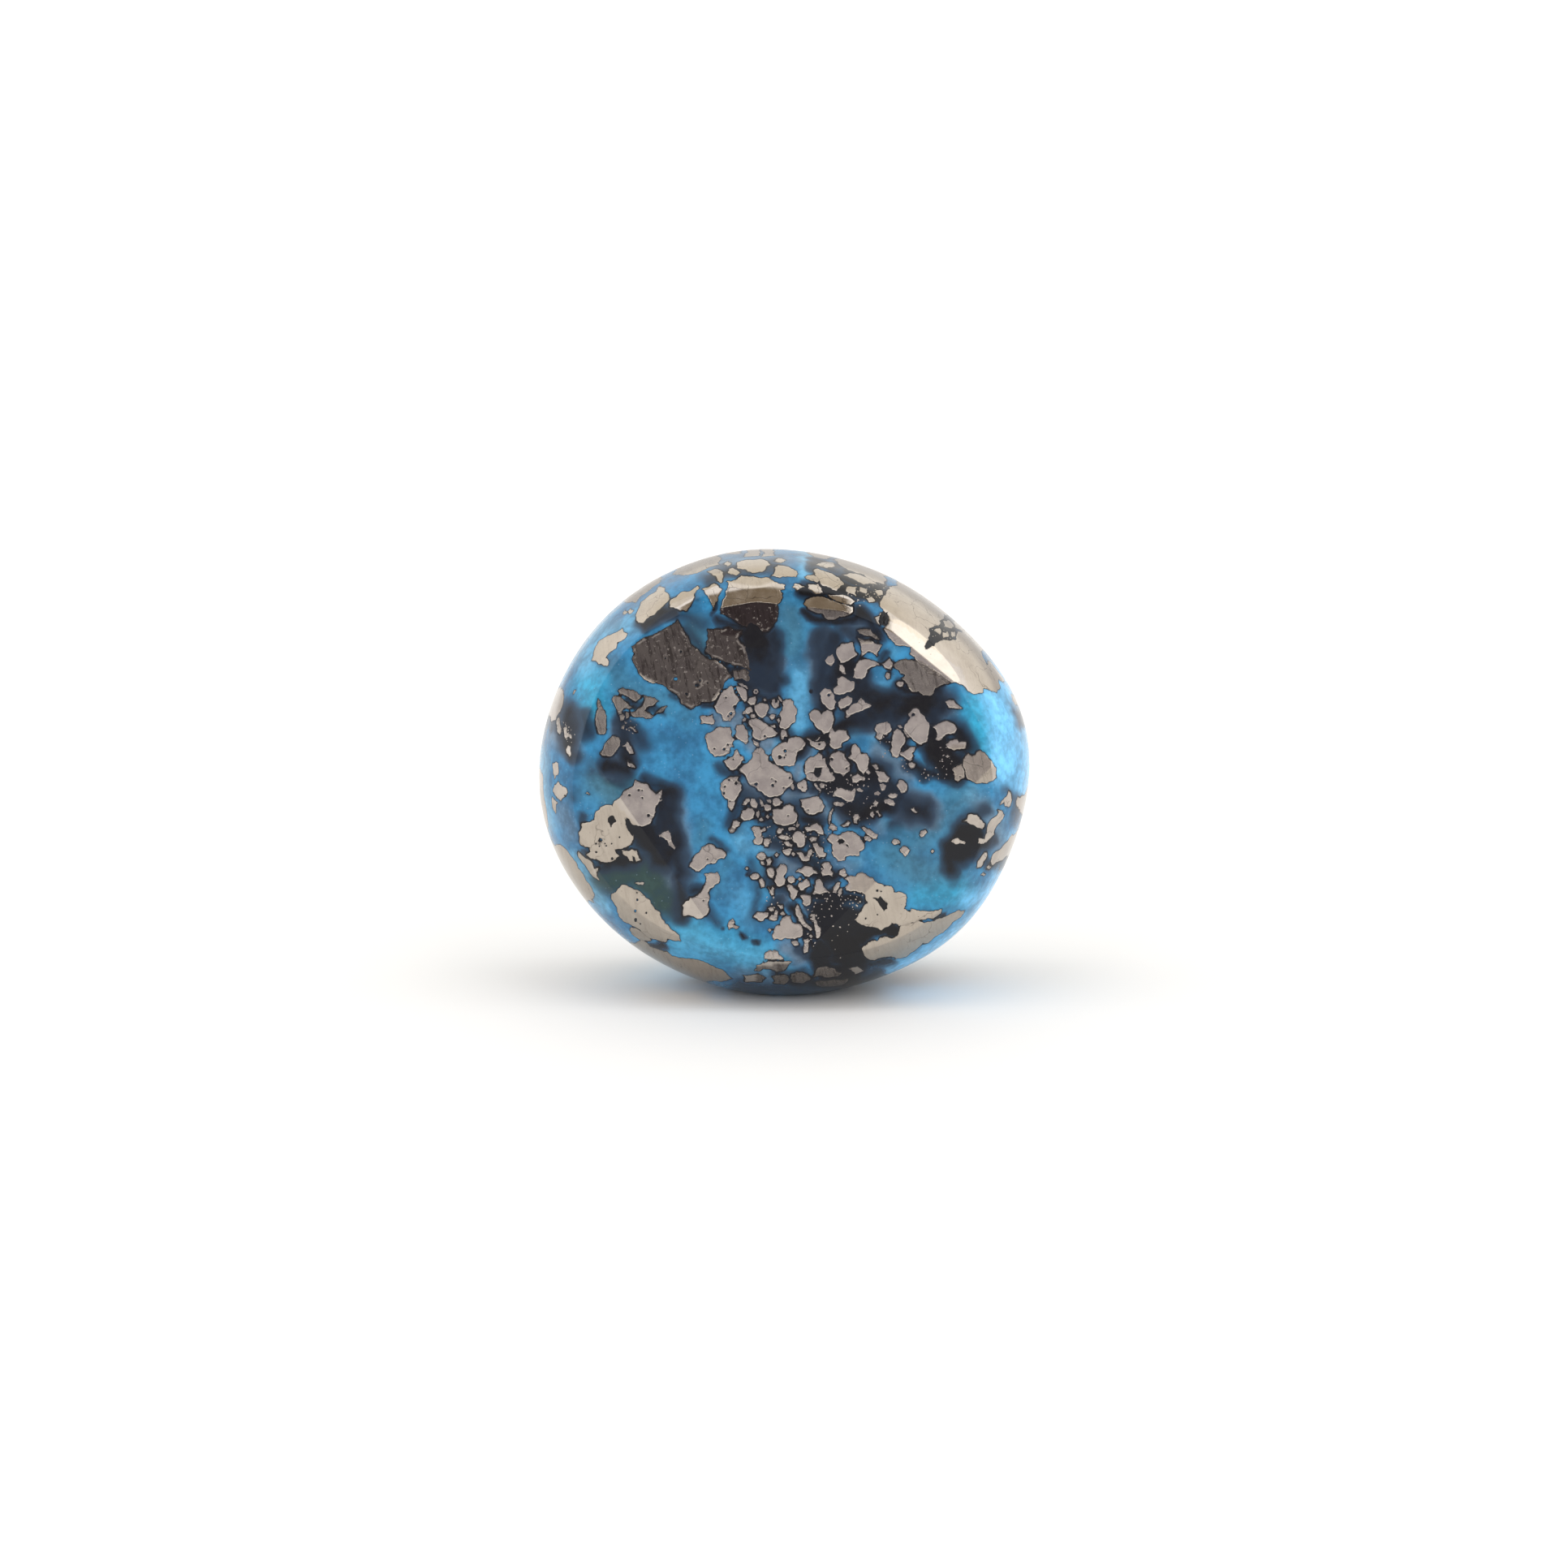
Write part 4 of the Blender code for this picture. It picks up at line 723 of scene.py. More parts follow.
# Where light shines through the thin edge
LIT_EDGE = table("""
0.75 0.5 0.9: 9.5,14.0 9.9,12.8 10.0,11.4 9.8,10.2;
0.5 0.4 0.8: 10.9,14.4 11.0,11.0 10.9,9.4;
0.35 0.35 0.6: 8.9,4.5 8.3,4.3;
0.6 0.35: 10.7,6.8 10.1,5.3 9.2,3.8 8.0,2.6 6.4,1.5 5.0,0.9;
""", Stroke)
CYAN = table("""
0.6 0.7: -8.7,13.9 -8.4,12.9;
0.6 0.6: 8.6,13.0 8.8,12.0 9.0,10.9;
0.7 0.7 0.6: -4.4,2.6 -2.5,2.2 -0.8,1.6;
0.5 0.6 0.7: 8.0,4.6 6.2,4.4;
0.3 0.3 0.5: 0.0,1.9 0.2,1.2;
0.7 0.6 0.7: -10.4,15.0 -9.6,16.4 -8.4,17.6;
""", Stroke)
TEAL = table("""
0.6 0.5 0.6: -7.8,14.6 -6.8,13.6 -5.4,13.2;
0.4 0.4 0.4: -4.6,13.0 -4.3,12.4;
0.9 0.8 0.8: 5.0,6.3 6.4,5.4 7.6,5.0;
0.8 0.7 0.7: 8.0,9.0 7.0,7.8 6.0,7.0;
0.7 0.6: -8.3,9.6 -7.6,9.0;
0.3 0.4 0.6: -3.6,7.6 -3.8,6.9;
0.2 0.3 0.6: -0.9,5.6 -0.8,4.8;
0.6 0.6 0.8: 0.3,17.0 0.4,15.6;
0.5 0.4 0.8: -3.3,14.9 -4.0,16.6;
0.5 0.5 0.5: -7.6,14.4 -7.0,13.9;
0.4 0.4 0.6: -3.9,2.9 -4.8,3.3;
0.3 0.4 0.4: -2.6,5.9 -3.0,4.7;
""", Stroke)
DEEP_GREEN = table("""
0.95 0.55: -7.8,5.4 -6.6,5.6 -5.6,4.9 -5.3,4.3;
0.4 0.4 0.5: -7.6,5.2;
0.4 0.5 0.6: 5.9,8.6 6.2,8.1;
0.3 0.4 0.6: 5.1,7.6;
0.2 0.3 0.6: 1.5,13.3;
0.4 0.4 0.7: -7.6,9.6 -7.0,9.7;
0.5 0.5 0.6: 7.2,12.8 5.2,12.8 4.4,12.2;
0.3 0.3 0.6: 6.4,10.4;
0.3 0.3 0.5: -4.3,16.3 -3.7,15.5;
""", Stroke)
# Haze in the dark areas
SLATE = table("""
0.8 0.3: -1.3,16.0 -1.2,15.2 -0.9,14.2;
0.6 0.3: 1.8,15.9 1.7,14.6 1.9,13.4;
0.8 0.4: 3.2,13.6 4.2,12.4 5.6,12.8 6.9,13.0;
0.5 0.3: 2.9,16.5 3.9,16.3;
0.7 0.3 0.8: -5.1,8.6 -5.0,7.4 -4.9,6.4 -4.7,5.4;
0.4 0.3: -6.1,17.0 -5.1,17.2;
0.8 0.3: 5.6,8.5 6.3,8.2;
0.5 0.3: -7.3,12.0 -7.1,11.0 -7.6,10.2;
0.5 0.3 0.7: -9.6,12.5 -9.5,11.0;
0.5 0.4 0.6: 1.0,8.6 3.0,8.6 4.5,9.2;
""", Stroke)
# Between the chips; the stroke along the foot, below z 1, is partly painted shade, where the underside
# mirrors the shadow on the floor
SLATE += table("""
0.35 0.3: -2.9,12.3 -2.0,12.4;
0.3 0.3: -0.6,12.6;
0.35 0.3: -1.5,11.2 -0.7,11.3;
0.3 0.3: 0.65,10.2 0.6,9.8;
0.35 0.35: -1.6,9.3 -1.0,8.9;
0.35 0.3: 0.2,9.0 1.3,9.1;
0.35 0.3: 1.75,8.2;
0.35 0.3: 2.5,8.1;
0.35 0.3: 0.0,5.9 0.5,5.8;
0.25 0.2: 2.0,5.0;
0.3 0.3: 0.0,4.3;
0.2 0.2: 1.1,3.9;
0.4 0.4: 0.2,2.2 0.7,1.7;
0.3 0.3 0.6: 4.0,7.9 4.3,7.5;
0.3 0.3: -0.5,6.7;
0.3 0.3: 1.75,7.0;
0.4 0.35: -0.9,15.2 -0.3,14.8;
0.3 0.3 0.8: 2.0,14.9 1.7,14.0;
0.35 0.3 0.9: 4.2,10.9 5.0,10.3 5.5,9.8;
0.4 0.35 0.7: 5.0,9.5 5.6,9.0;
0.3 0.3: 1.0,10.9;
0.3 0.3 0.6: 3.0,5.7 2.3,6.0;
0.4 0.4 0.8: 8.9,8.5 9.5,7.6 9.6,6.6;
0.4 0.4 0.9: -10.3,13.2 -10.2,11.6;
0.35 0.35 0.6: -9.9,8.3 -9.5,7.2;
0.5 0.4 0.8: -2.8,19.2 -0.2,19.3;
0.4 0.4 0.6: -1.9,0.9 0.0,0.8;
0.3 0.3 0.7: 10.4,13.0 10.6,12.4;
0.25 0.25 0.7: 9.1,14.9;
""", Stroke)
# Where the finest pyrite lies
DUST = table("""
0.42 0.3: 1.6,4.2 2.6,4.3 3.5,4.1;
0.18 0.15: 1.4,4.0 1.5,3.4;
0.35 0.25 0.8: 0.9,7.3 1.7,6.9 1.5,6.1;
0.3 0.25 0.8: 2.0,9.4 2.6,9.4 3.6,9.5;
0.3 0.25 0.8: -0.6,7.3 0.2,7.1 0.2,6.7;
0.25 0.2 0.6: 4.5,11.4 4.6,10.9;
0.25 0.2 0.9: 5.3,10.6 5.4,10.4;
0.3 0.25 0.5: 6.3,10.0 7.2,9.9 7.1,10.9 7.3,11.5;
0.2 0.15 0.8: -9.75,12.3 -9.6,11.7;
0.3 0.25 0.8: -7.1,12.5 -7.0,12.0;
0.2 0.15 0.6: -0.5,4.1 -0.6,3.9;
0.4 0.3 0.35: 3.0,8.3 3.5,8.1 3.9,8.4;
0.15 0.12 0.8: 1.2,2.5 1.3,2.3;
0.4 0.2 0.7: 6.7,16.1 7.3,15.9;
0.8 0.4 0.06: 2.2,3.3 2.8,2.6;
0.4 0.3 0.5: 3.3,17.9 4.2,18.0;
""", Stroke)


DRAWN_SHADES = {
    "matrix": MATRIX,
    "pale": PALE_AND_RIM_LIGHT,
    "lit_edge": LIT_EDGE,
    "cyan": CYAN,
    "teal": TEAL,
    "deep_green": DEEP_GREEN,
    "slate": SLATE,
    "dust": DUST,
}
# The drawn matrix fades over this many times its strokes' blurs
MATRIX_SOFTNESS = 1.4
# Shades where the photo doesn't show: the strength, the two heights of a wave between which the
# shade comes up, and the wave's seed and its longest and shortest lengths in mm
HIDDEN_SHADES = {
    "pale": (0.8, 0.5, 1.5, 5, 6.0, 2.5),
    "cyan": (1.0, 0.6, 1.5, 6, 8.0, 4.0),
    "teal": (1.0, 0.2, 1.2, 7, 9.0, 4.0),
    "deep_green": (0.8, 0.8, 1.6, 8, 7.0, 3.0),
}
# More waves in the same form
BROAD_MATRIX = (3, 9.0, 4.0)
FINE_MATRIX = (4, 2.4, 1.1)
GREY_PATCHES = (9, 4.0, 1.5)
DUST_PATCHES = (10, 2.0, 0.8)
DULL_PATCHES = (31, 7.0, 3.0)
# The drawn strokes are bent by two waves, up to about this far
WARPS = ((21, 1.6, 0.5), (22, 1.6, 0.5))
WARP_MM = 0.06


def smooth(low, high, value):
    """0 below low, 1 above high, and a smooth rise between them."""
    share = np.clip((value - low) / (high - low), 0.0, 1.0)
    return share * share * (3.0 - 2.0 * share)


# The surface

# Each broad face, in front and behind: its depth, its lean and its flats
BROAD_FACES = {
    -1: (MAIN_FACE_DEPTH_MM, MAIN_FACE_LEAN, FRONT_FLATS),
    1: (BACK_FACE_DEPTH_MM, BACK_FACE_LEAN, BACK_FLATS),
}


def outline_radius(bearing):
    """The outline's radius at these bearings, as the smoothest closed curve through the radii."""
    waves = np.fft.rfft(OUTLINE_RADII_MM) / len(OUTLINE_RADII_MM)
    radius = np.full_like(bearing, waves[0].real)
    for turns, wave in enumerate(waves[1:-1], start=1):
        radius += 2.0 * (wave * np.exp(1j * turns * bearing)).real
    radius += waves[-1].real * np.cos((len(waves) - 1) * bearing)
    return radius


def smooth_min(a, b, reach):
    """The lower of two heights, rounded where they come closer than reach."""
    near = np.clip(reach - np.abs(a - b), 0.0, None) / reach
    return np.minimum(a, b) - near * near * reach / 4.0


def slope_of(flat):
    """The way that a flat slopes, as x and z, and how steeply."""
    bearing = math.radians(flat.bearing_deg)
    return math.cos(bearing), math.sin(bearing), math.tan(math.radians(flat.tilt_deg))


class Stone:
    """The polished surface in millimetres, over two round charts: one in front and one behind."""

    def __init__(self, edge_width):
        self.edge_width = edge_width
        angle = np.linspace(0.0, math.pi, CHART_STEPS)
        radius = outline_radius(np.zeros(1))[0] * CHART_RADIUS_SHARE
        across, along = self.ball(angle, np.full_like(angle, radius))
        along = np.clip(along, -MAIN_FACE_DEPTH_MM, BACK_FACE_DEPTH_MM)
        steps = np.hypot(np.diff(across), np.diff(along))
        self.angle = angle
        self.arc = np.concatenate(([0.0], np.cumsum(steps)))
        self.seam = float(np.interp(SEAM_ANGLE, self.angle, self.arc))
        self.reach = {-1: self.seam, 1: self.arc[-1] - self.seam}
        rng = np.random.default_rng(SWELL_SEED)
        turns = rng.normal(size=(SWELL_WAVES, 3))
        turns /= np.linalg.norm(turns, axis=1)[:, None]
        self.swell = turns * (math.tau / rng.uniform(*SWELL_LENGTHS_MM, SWELL_WAVES))[:, None]
        self.phase = rng.uniform(0.0, math.tau, SWELL_WAVES)
        self.shift = np.zeros(3)
        self.shift = self.find_shift()

    @staticmethod
    def ball(angle, radius):
        """The rounded pebble: how far a point lies from the stone's axis, and along it."""
        sine, cosine = np.sin(angle), np.cos(angle)
        depth = np.where(cosine > 0.0, FRONT_DEPTH_MM, BACK_DEPTH_MM)
        across = np.abs(sine) ** (2.0 / FULLNESS) * radius
        return across, -np.sign(cosine) * np.abs(cosine) ** (2.0 / FULLNESS) * depth

    def ground(self, depth, x, z, face_depth, lean, flats):
        """The depth after a broad face and its ring of flats are ground."""
        level = face_depth - math.tan(lean) * z
        depth = smooth_min(depth, level, BROAD_EDGE_MM)
        for flat in flats:
            way_x, way_z, slope = slope_of(flat)
            over = x * way_x + z * way_z - flat.reach_mm
            depth = smooth_min(depth, level - slope * over, self.edge_width * slope / 2.0)
        return depth

    def rounded(self, u, v, side):
        """The pebble before grinding, at these places on a chart."""
        bearing = np.arctan2(v, u)
        arc = np.hypot(u, v)
        if side > 0:
            arc = self.arc[-1] - arc
        across, along = self.ball(np.interp(arc, self.arc, self.angle), outline_radius(bearing))
        return across * np.cos(bearing), along, across * np.sin(bearing)

    def place(self, u, v, side):
        """Points of the surface at these places on a chart. side is -1 in front and 1 behind."""
        x, along, z = self.rounded(u, v, side)
        front = self.ground(np.abs(along), x, z, *BROAD_FACES[-1])
        back = self.ground(np.abs(along), x, z, *BROAD_FACES[1])
        y = np.where(along < 0.0, -front, back)
        points = np.stack((x, y, z), axis=-1)
        wave = np.sin(points @ self.swell.T + self.phase).sum(axis=-1) * SWELL_HEIGHT_MM
        y = y + wave * np.sign(along) * np.clip(np.abs(along), 0.0, 1.0)
        height = z + CENTRE_HEIGHT_MM
        height = -smooth_min(-height, np.zeros_like(height), BASE_EDGE_MM)
        return np.stack((x, y, height), axis=-1) + self.shift

    def edge_distance(self, u, v, side):
        """Roughly how far each place on a chart lies from the nearest edge between two flats."""
        x, along, z = self.rounded(u, v, side)
        face_depth, lean, flats = BROAD_FACES[side]
        level = face_depth - math.tan(lean) * z
        rounded_slope = 0.35
        depths, slopes = [np.abs(along), level], [(rounded_slope, 0.0), (0.0, 0.0)]
        for flat in flats:
            way_x, way_z, slope = slope_of(flat)
            depths.append(level - slope * (x * way_x + z * way_z - flat.reach_mm))
            slopes.append((slope * way_x, slope * way_z))
        depths, slopes = np.array(depths), np.array(slopes)
        lowest = np.argpartition(depths, 1, axis=0)[:2]
        gap = np.abs(np.diff(np.take_along_axis(depths, lowest, axis=0), axis=0)[0])
        bend = np.linalg.norm(slopes[lowest[0]] - slopes[lowest[1]], axis=1)
        least_bend = 0.03
        return gap / np.maximum(bend, least_bend)

    def normal(self, u, v, side, step=0.004):
        """Outward normals at these places on a chart."""
        du = self.place(u + step, v, side) - self.place(u - step, v, side)
        dv = self.place(u, v + step, side) - self.place(u, v - step, side)
        across = np.cross(du, dv) * -side
        return across / np.linalg.norm(across, axis=-1)[..., None]

    def find_shift(self, spacing=0.2):
        """The move that gives the surface's box the same middle as the CAD part's."""
        places = [self.place(*hex_grid(self.reach[side], spacing).T, side) for side in (-1, 1)]
        places = np.concatenate(places)
        low, high = STONE_BOX_MM
        shift = (low + high) / 2.0 - (places.min(axis=0) + places.max(axis=0)) / 2.0
        shift[2] = 0.0
        return shift


def hex_grid(radius, spacing):
    """Points of an even grid of triangles inside a circle."""
    rise = spacing * math.sqrt(3.0) / 2.0
    count = int(radius / rise) + 2
    column, row = np.meshgrid(np.arange(-2 * count, 2 * count + 1), np.arange(-count, count + 1))
    u = (column + 0.5 * (row % 2)) * spacing
    v = row * rise
    points = np.stack((u.ravel(), v.ravel()), axis=-1)
    return points[np.hypot(points[:, 0], points[:, 1]) < radius - 0.6 * spacing]


def background_points(stone, side, spacing):
    """Grid points over a chart, closer together beside the edges between flats."""
    offset, margin = 0.013, 0.05
    kept = [hex_grid(stone.reach[side], spacing)]
    for level, beside in FINER_GRIDS:
        grid = hex_grid(stone.reach[side], spacing / level) + offset * level
        grid = grid[np.hypot(grid[:, 0], grid[:, 1]) < stone.reach[side] - margin]
        kept.append(grid[stone.edge_distance(*grid.T, side) < beside])
    return np.concatenate(kept)


# The camera and what it sees


def camera_axes():
    """The camera's right, its up, and the way from what it sees back to it."""
    rise = CAMERA_ELEVATION
    right = np.array((1.0, 0.0, 0.0))
    up = np.array((0.0, math.sin(rise), math.cos(rise)))
    back = np.array((0.0, -math.cos(rise), math.sin(rise)))
    return right, up, back


def camera_place():
    """Where the camera stands, in millimetres."""
    right, up, back = camera_axes()
    across, rise = np.subtract(PICTURE_CENTRE_MM, STONE_IN_PICTURE_MM)
    middle = np.array((0.0, 0.0, CENTRE_HEIGHT_MM))
    return middle + right * across + up * rise + back * CAMERA_DISTANCE_MM


def on_picture(points):
    """Where points fall on the picture plane, as x,z pairs in millimetres."""
    right, up, back = camera_axes()
    away = points - camera_place()
    grow = CAMERA_DISTANCE_MM / -(away @ back)
    across = away @ right * grow + PICTURE_CENTRE_MM[0]
    return np.stack((across, away @ up * grow + PICTURE_CENTRE_MM[1]), axis=-1)


def facing(points, normals):
    """How squarely each point faces the camera: 1 is square on, and below 0 is turned away."""
    way = camera_place() - points
    return (normals * way).sum(axis=-1) / np.linalg.norm(way, axis=-1)


class PictureMap:
    """Finds the place on the front chart that the camera sees at a point of the picture plane."""

    # The first guess is a grid point within reach, and each round moves it closer, in millimetres
    spacing = 0.12
    farthest = 0.14
    rounds = 4
    step = 0.01
    longest_move = 0.2
    least_facing = 0.02
    least_area = 0.08
    # Past the rim, chart places lie this many times further apart than picture points
    past_rim = 1.4

    def __init__(self, stone):
        self.stone = stone
        grid = hex_grid(stone.reach[-1], self.spacing)
        places = stone.place(*grid.T, -1)
        seen = facing(places, stone.normal(*grid.T, -1)) > self.least_facing
        self.grid, self.picture = grid[seen], on_picture(places[seen])
        self.tree = kdtree.KDTree(len(self.grid))
        for number, (x, z) in enumerate(self.picture):
            self.tree.insert((x, z, 0.0), number)
        self.tree.balance()

    def chart(self, points):
        """Chart places for picture points. Points outside the outline go on past the rim."""
        nearest = [self.tree.find((x, z, 0.0)) for x, z in points]
        found = self.grid[[number for _, number, _ in nearest]]
        gap = np.array([distance for _, _, distance in nearest])
        inside = gap < self.farthest
        for _ in range(self.rounds):
            here = self.seen_at(*found.T)
            du = (self.seen_at(found[:, 0] + self.step, found[:, 1]) - here) / self.step
            dv = (self.seen_at(found[:, 0], found[:, 1] + self.step) - here) / self.step
            miss = points - here
            area = crossed(du, dv)
            usable = inside & (np.abs(area) > self.least_area)
            area = np.where(usable, area, 1.0)
            move = np.stack((crossed(miss, dv) / area, crossed(du, miss) / area), axis=-1)
            length = np.linalg.norm(move, axis=1)[:, None]
            move *= np.minimum(1.0, self.longest_move / np.maximum(length, 1e-9))
            found = found + np.where(usable[:, None], move, 0.0)
        outward = found / np.linalg.norm(found, axis=1)[:, None]
        return found + np.where(inside, 0.0, gap * self.past_rim)[:, None] * outward

    def seen_at(self, u, v):
        """Where the camera sees these places on the front chart."""
        return on_picture(self.stone.place(u, v, -1))


def crossed(first, second):
    """The cross product of pairs."""
    return first[:, 0] * second[:, 1] - first[:, 1] * second[:, 0]


# The chips


def roughened(outline, rng, longest=LONGEST_FRONT_MM, amount=0.105, most=0.13):
    """An outline with its sides broken up into short uneven steps."""
    points = [tuple(point) for point in outline]
    while True:
        finer, split = [], False
        for here, there in zip(points, points[1:] + points[:1]):
            finer.append(here)
            du, dv = there[0] - here[0], there[1] - here[1]
            length = math.hypot(du, dv)
            if length > longest:
                push = max(-most, min(most, rng.normal(0.0, amount)))
                finer.append((here[0] + du / 2.0 - dv * push, here[1] + dv / 2.0 + du * push))
                split = True
        points = finer
        if not split:
            return np.array(points)


def around(bearings, radii):
    """Pairs at these bearings and distances."""
    return np.stack((np.cos(bearings) * radii, np.sin(bearings) * radii), axis=-1)


def round_outline(centre, radius, rng, corners=7):
    """A small uneven blob."""
    bearings = np.arange(corners) * math.tau / corners + rng.uniform(0.0, 1.0)
    radii = radius * rng.uniform(0.7, 1.25, corners)
    return np.array(centre) + around(bearings, radii)


def random_outline(centre, size, rng):
    """An angular chip outline of about this size."""
    corners = int(rng.integers(6, 12))
    bearings = np.sort(rng.uniform(0.0, math.tau, corners))
    bearings = 0.5 * bearings + 0.5 * np.arange(corners) * math.tau / corners
    radii = size * rng.uniform(0.55, 1.2, corners)
    long_way, stretch = rng.uniform(0.0, math.pi), rng.uniform(1.0, 2.0)
    u, v = np.cos(bearings) * radii * stretch, np.sin(bearings) * radii / stretch
    turned_u = u * math.cos(long_way) - v * math.sin(long_way)
    turned_v = u * math.sin(long_way) + v * math.cos(long_way)
    return np.array(centre) + np.stack((turned_u, turned_v), axis=-1)


def hidden_chips(stone, side, count, rng):
    """Chips for the sides and the back, gathered where the matrix made by rule is dark."""
    tries = count * 40
    smallest, largest = 0.09, 1.5
    sizes = np.clip(rng.lognormal(-1.25, 0.75, tries), smallest, largest)
    arcs = stone.reach[side] * np.sqrt(rng.uniform(0.0, 1.0, tries))
    bearings = rng.uniform(0.0, math.tau, tries)
    places = around(bearings, arcs)
    middles = stone.place(*places.T, side)
    luck = rng.uniform(size=tries) < 0.12 + 0.88 * hidden_matrix(middles)
    reach_of_chip, margin = 1.7, 0.12
    inside = arcs + reach_of_chip * sizes < stone.reach[side] - margin
    if side < 0:
        inside &= facing(middles, stone.normal(*places.T, side)) < -0.03 - 0.2 * sizes
    chips, taken = [], []
    for number in np.flatnonzero(luck & inside):
        middle, size = middles[number], sizes[number]
        if all(math.dist(middle, other) > 0.95 * (size + reach) + 0.05 for other, reach in taken):
            taken.append((middle, size))
            chips.append(random_outline(places[number], size, rng))
        if len(chips) == count:
            break
    return chips


# The shades of the turquoise


def line_distance(points, starts, ends):
    """How far each point lies from the nearest of these straight lines."""
    nearest = np.full(len(points), 1e9)
    for start, end in zip(starts, ends):
        way = end - start
        share = np.clip(((points - start) @ way) / (way @ way), 0.0, 1.0)
        nearest = np.minimum(nearest, np.linalg.norm(points - start - share[:, None] * way, axis=1))
    return nearest


def along_stroke(points, stroke):
    """1 on a stroke, fading to 0 over its blur, times its strength."""
    line = stroke.points
    if len(line) == 1:
        line = np.concatenate((line, line + 1e-6))
    nearest = line_distance(points, line[:-1], line[1:])
    fade = smooth(stroke.radius - stroke.blur, stroke.radius + stroke.blur, nearest)
    return stroke.strength * (1.0 - fade)


def drawn_layer(points, strokes, softness=1.0):
    """The strongest of the strokes at each picture point."""
    strokes = [stroke._replace(blur=stroke.blur * softness) for stroke in strokes]
    return np.max([along_stroke(points, stroke) for stroke in strokes], axis=0)


def waves(points, seed, longest, shortest, count=26):
    """A smooth random value from about -1 to 1 at each point in space."""
    rng = np.random.default_rng(seed)
    ways = rng.normal(size=(count, 3))
    ways /= np.linalg.norm(ways, axis=1)[:, None]
    lengths = rng.uniform(shortest, longest, count)
    phases = rng.uniform(0.0, math.tau, count)
    waved = np.sin(points @ (ways * (math.tau / lengths)[:, None]).T + phases)
    return (waved * np.sqrt(2.0 / count)).sum(axis=1)


def hidden_matrix(points):
    """How dark the matrix is where the photo doesn't show."""
    broad = waves(points, *BROAD_MATRIX)
    fine = waves(points, *FINE_MATRIX)
    return smooth(0.2, 0.95, broad + 0.45 * fine)


def seen_share(points, normals):
    """1 where the photo gives the shade, and 0 where it has to be made by rule."""
    return smooth(-0.3, -0.02, facing(points, normals))


def shade_layers(points, normals):
    """Each shade's weight at every point of the mesh."""
    warp = np.stack([waves(points, *wave) for wave in WARPS], axis=-1)
    picture = on_picture(points) + WARP_MM * warp
    seen = seen_share(points, normals)
    hidden = {
        name: strength * smooth(low, high, waves(points, *wave))
        for name, (strength, low, high, *wave) in HIDDEN_SHADES.items()
    }
    dark = hidden_matrix(points)
    grey = waves(points, *GREY_PATCHES) + 0.6 * waves(points, *BROAD_MATRIX)
    hidden["matrix"] = dark
    hidden["lit_edge"] = np.zeros(len(points))
    hidden["slate"] = 0.9 * smooth(0.3, 1.0, grey)
    hidden["dust"] = 0.35 * smooth(0.5, 1.2, dark + 0.5 * waves(points, *DUST_PATCHES))
    layers = {}
    for name, strokes in DRAWN_SHADES.items():
        drawn = drawn_layer(picture, strokes, MATRIX_SOFTNESS if name == "matrix" else 1.0)
        layers[name] = seen * drawn + (1.0 - seen) * hidden[name]
    return layers


# The mesh


def chart_mesh(stone, side, spacing, chips, holes):
    """Triangles over one chart: its places, its faces, and which faces are pyrite."""
    turns = np.arange(SEAM_POINTS) * math.tau / SEAM_POINTS
    ring = stone.reach[side] * around(turns, 1.0)
    background = background_points(stone, side, spacing)
    outlines = chips + holes
    places = np.concatenate([ring, background] + outlines)
    edges = closed_loop(0, len(ring))
    start = len(ring) + len(background)
    for outline in outlines:
        edges += closed_loop(start, len(outline))
        start += len(outline)
    closest = 1e-6
    found = geometry.delaunay_2d_cdt([Vector(place) for place in places], edges, [], 0, closest, True)
    places, triangles = np.array([tuple(place) for place in found[0]]), np.array(found[2])
    origin = found[3]
    middles = places[triangles].mean(axis=1)
    pyrite = covered(middles, chips) & ~covered(middles, holes)
    ring_at = {old: new for new, olds in enumerate(origin) for old in olds if old < len(ring)}
    order = [ring_at[number] for number in range(len(ring))]
    return places, triangles, pyrite, order


def closed_loop(start, count):
    """The edges of a closed loop of numbered points."""
    return [(start + number, start + (number + 1) % count) for number in range(count)]


def crossing_inside(points, outline):
    """Which points lie inside an outline."""
    inside = np.zeros(len(points), dtype=bool)
    for start, end in zip(outline, np.roll(outline, -1, axis=0)):
        if start[1] != end[1]:
            crosses = (start[1] > points[:, 1]) != (end[1] > points[:, 1])
            at = start[0] + (points[:, 1] - start[1]) * (end[0] - start[0]) / (end[1] - start[1])
            inside ^= crosses & (points[:, 0] < at)
    return inside


def covered(points, outlines):
    """Which points lie inside any of the outlines."""
    inside = np.zeros(len(points), dtype=bool)
    for outline in outlines:
        boxed = (points > outline.min(axis=0)) & (points < outline.max(axis=0))
        near = np.flatnonzero(boxed.all(axis=1))
        inside[near] |= crossing_inside(points[near], outline)
    return inside


def point_attribute(mesh, name, values):
    """Stores a value for each point of a mesh."""
    attribute = mesh.attributes.new(name, "FLOAT", "POINT")
    attribute.data.foreach_set("value", np.asarray(values, dtype=np.float32))


def all_outlines(stone, settings):
    """The outlines on the charts: the front's chips, the openings in them, and the back's chips."""
    seen = PictureMap(stone)
    rng = np.random.default_rng(settings.seed)
    drawn = [seen.chart(outline) for outline in DARK_PLATES + FACE_CHIPS + RIM_CHIPS]
    pits = [seen.chart(round_outline((x, z), radius, rng)) for x, z, radius in CHIP_PITS]
    holes = [roughened(seen.chart(outline), rng) for outline in CHIP_HOLES] + pits
    sides = hidden_chips(stone, -1, settings.side_chips, rng)
    back = hidden_chips(stone, 1, settings.back_chips, rng)
    front = [roughened(outline, rng) for outline in drawn]
    front += [roughened(outline, rng, LONGEST_SIDE_MM) for outline in sides]
    back = [roughened(outline, rng, LONGEST_BACK_MM) for outline in back]
    return front, holes, back


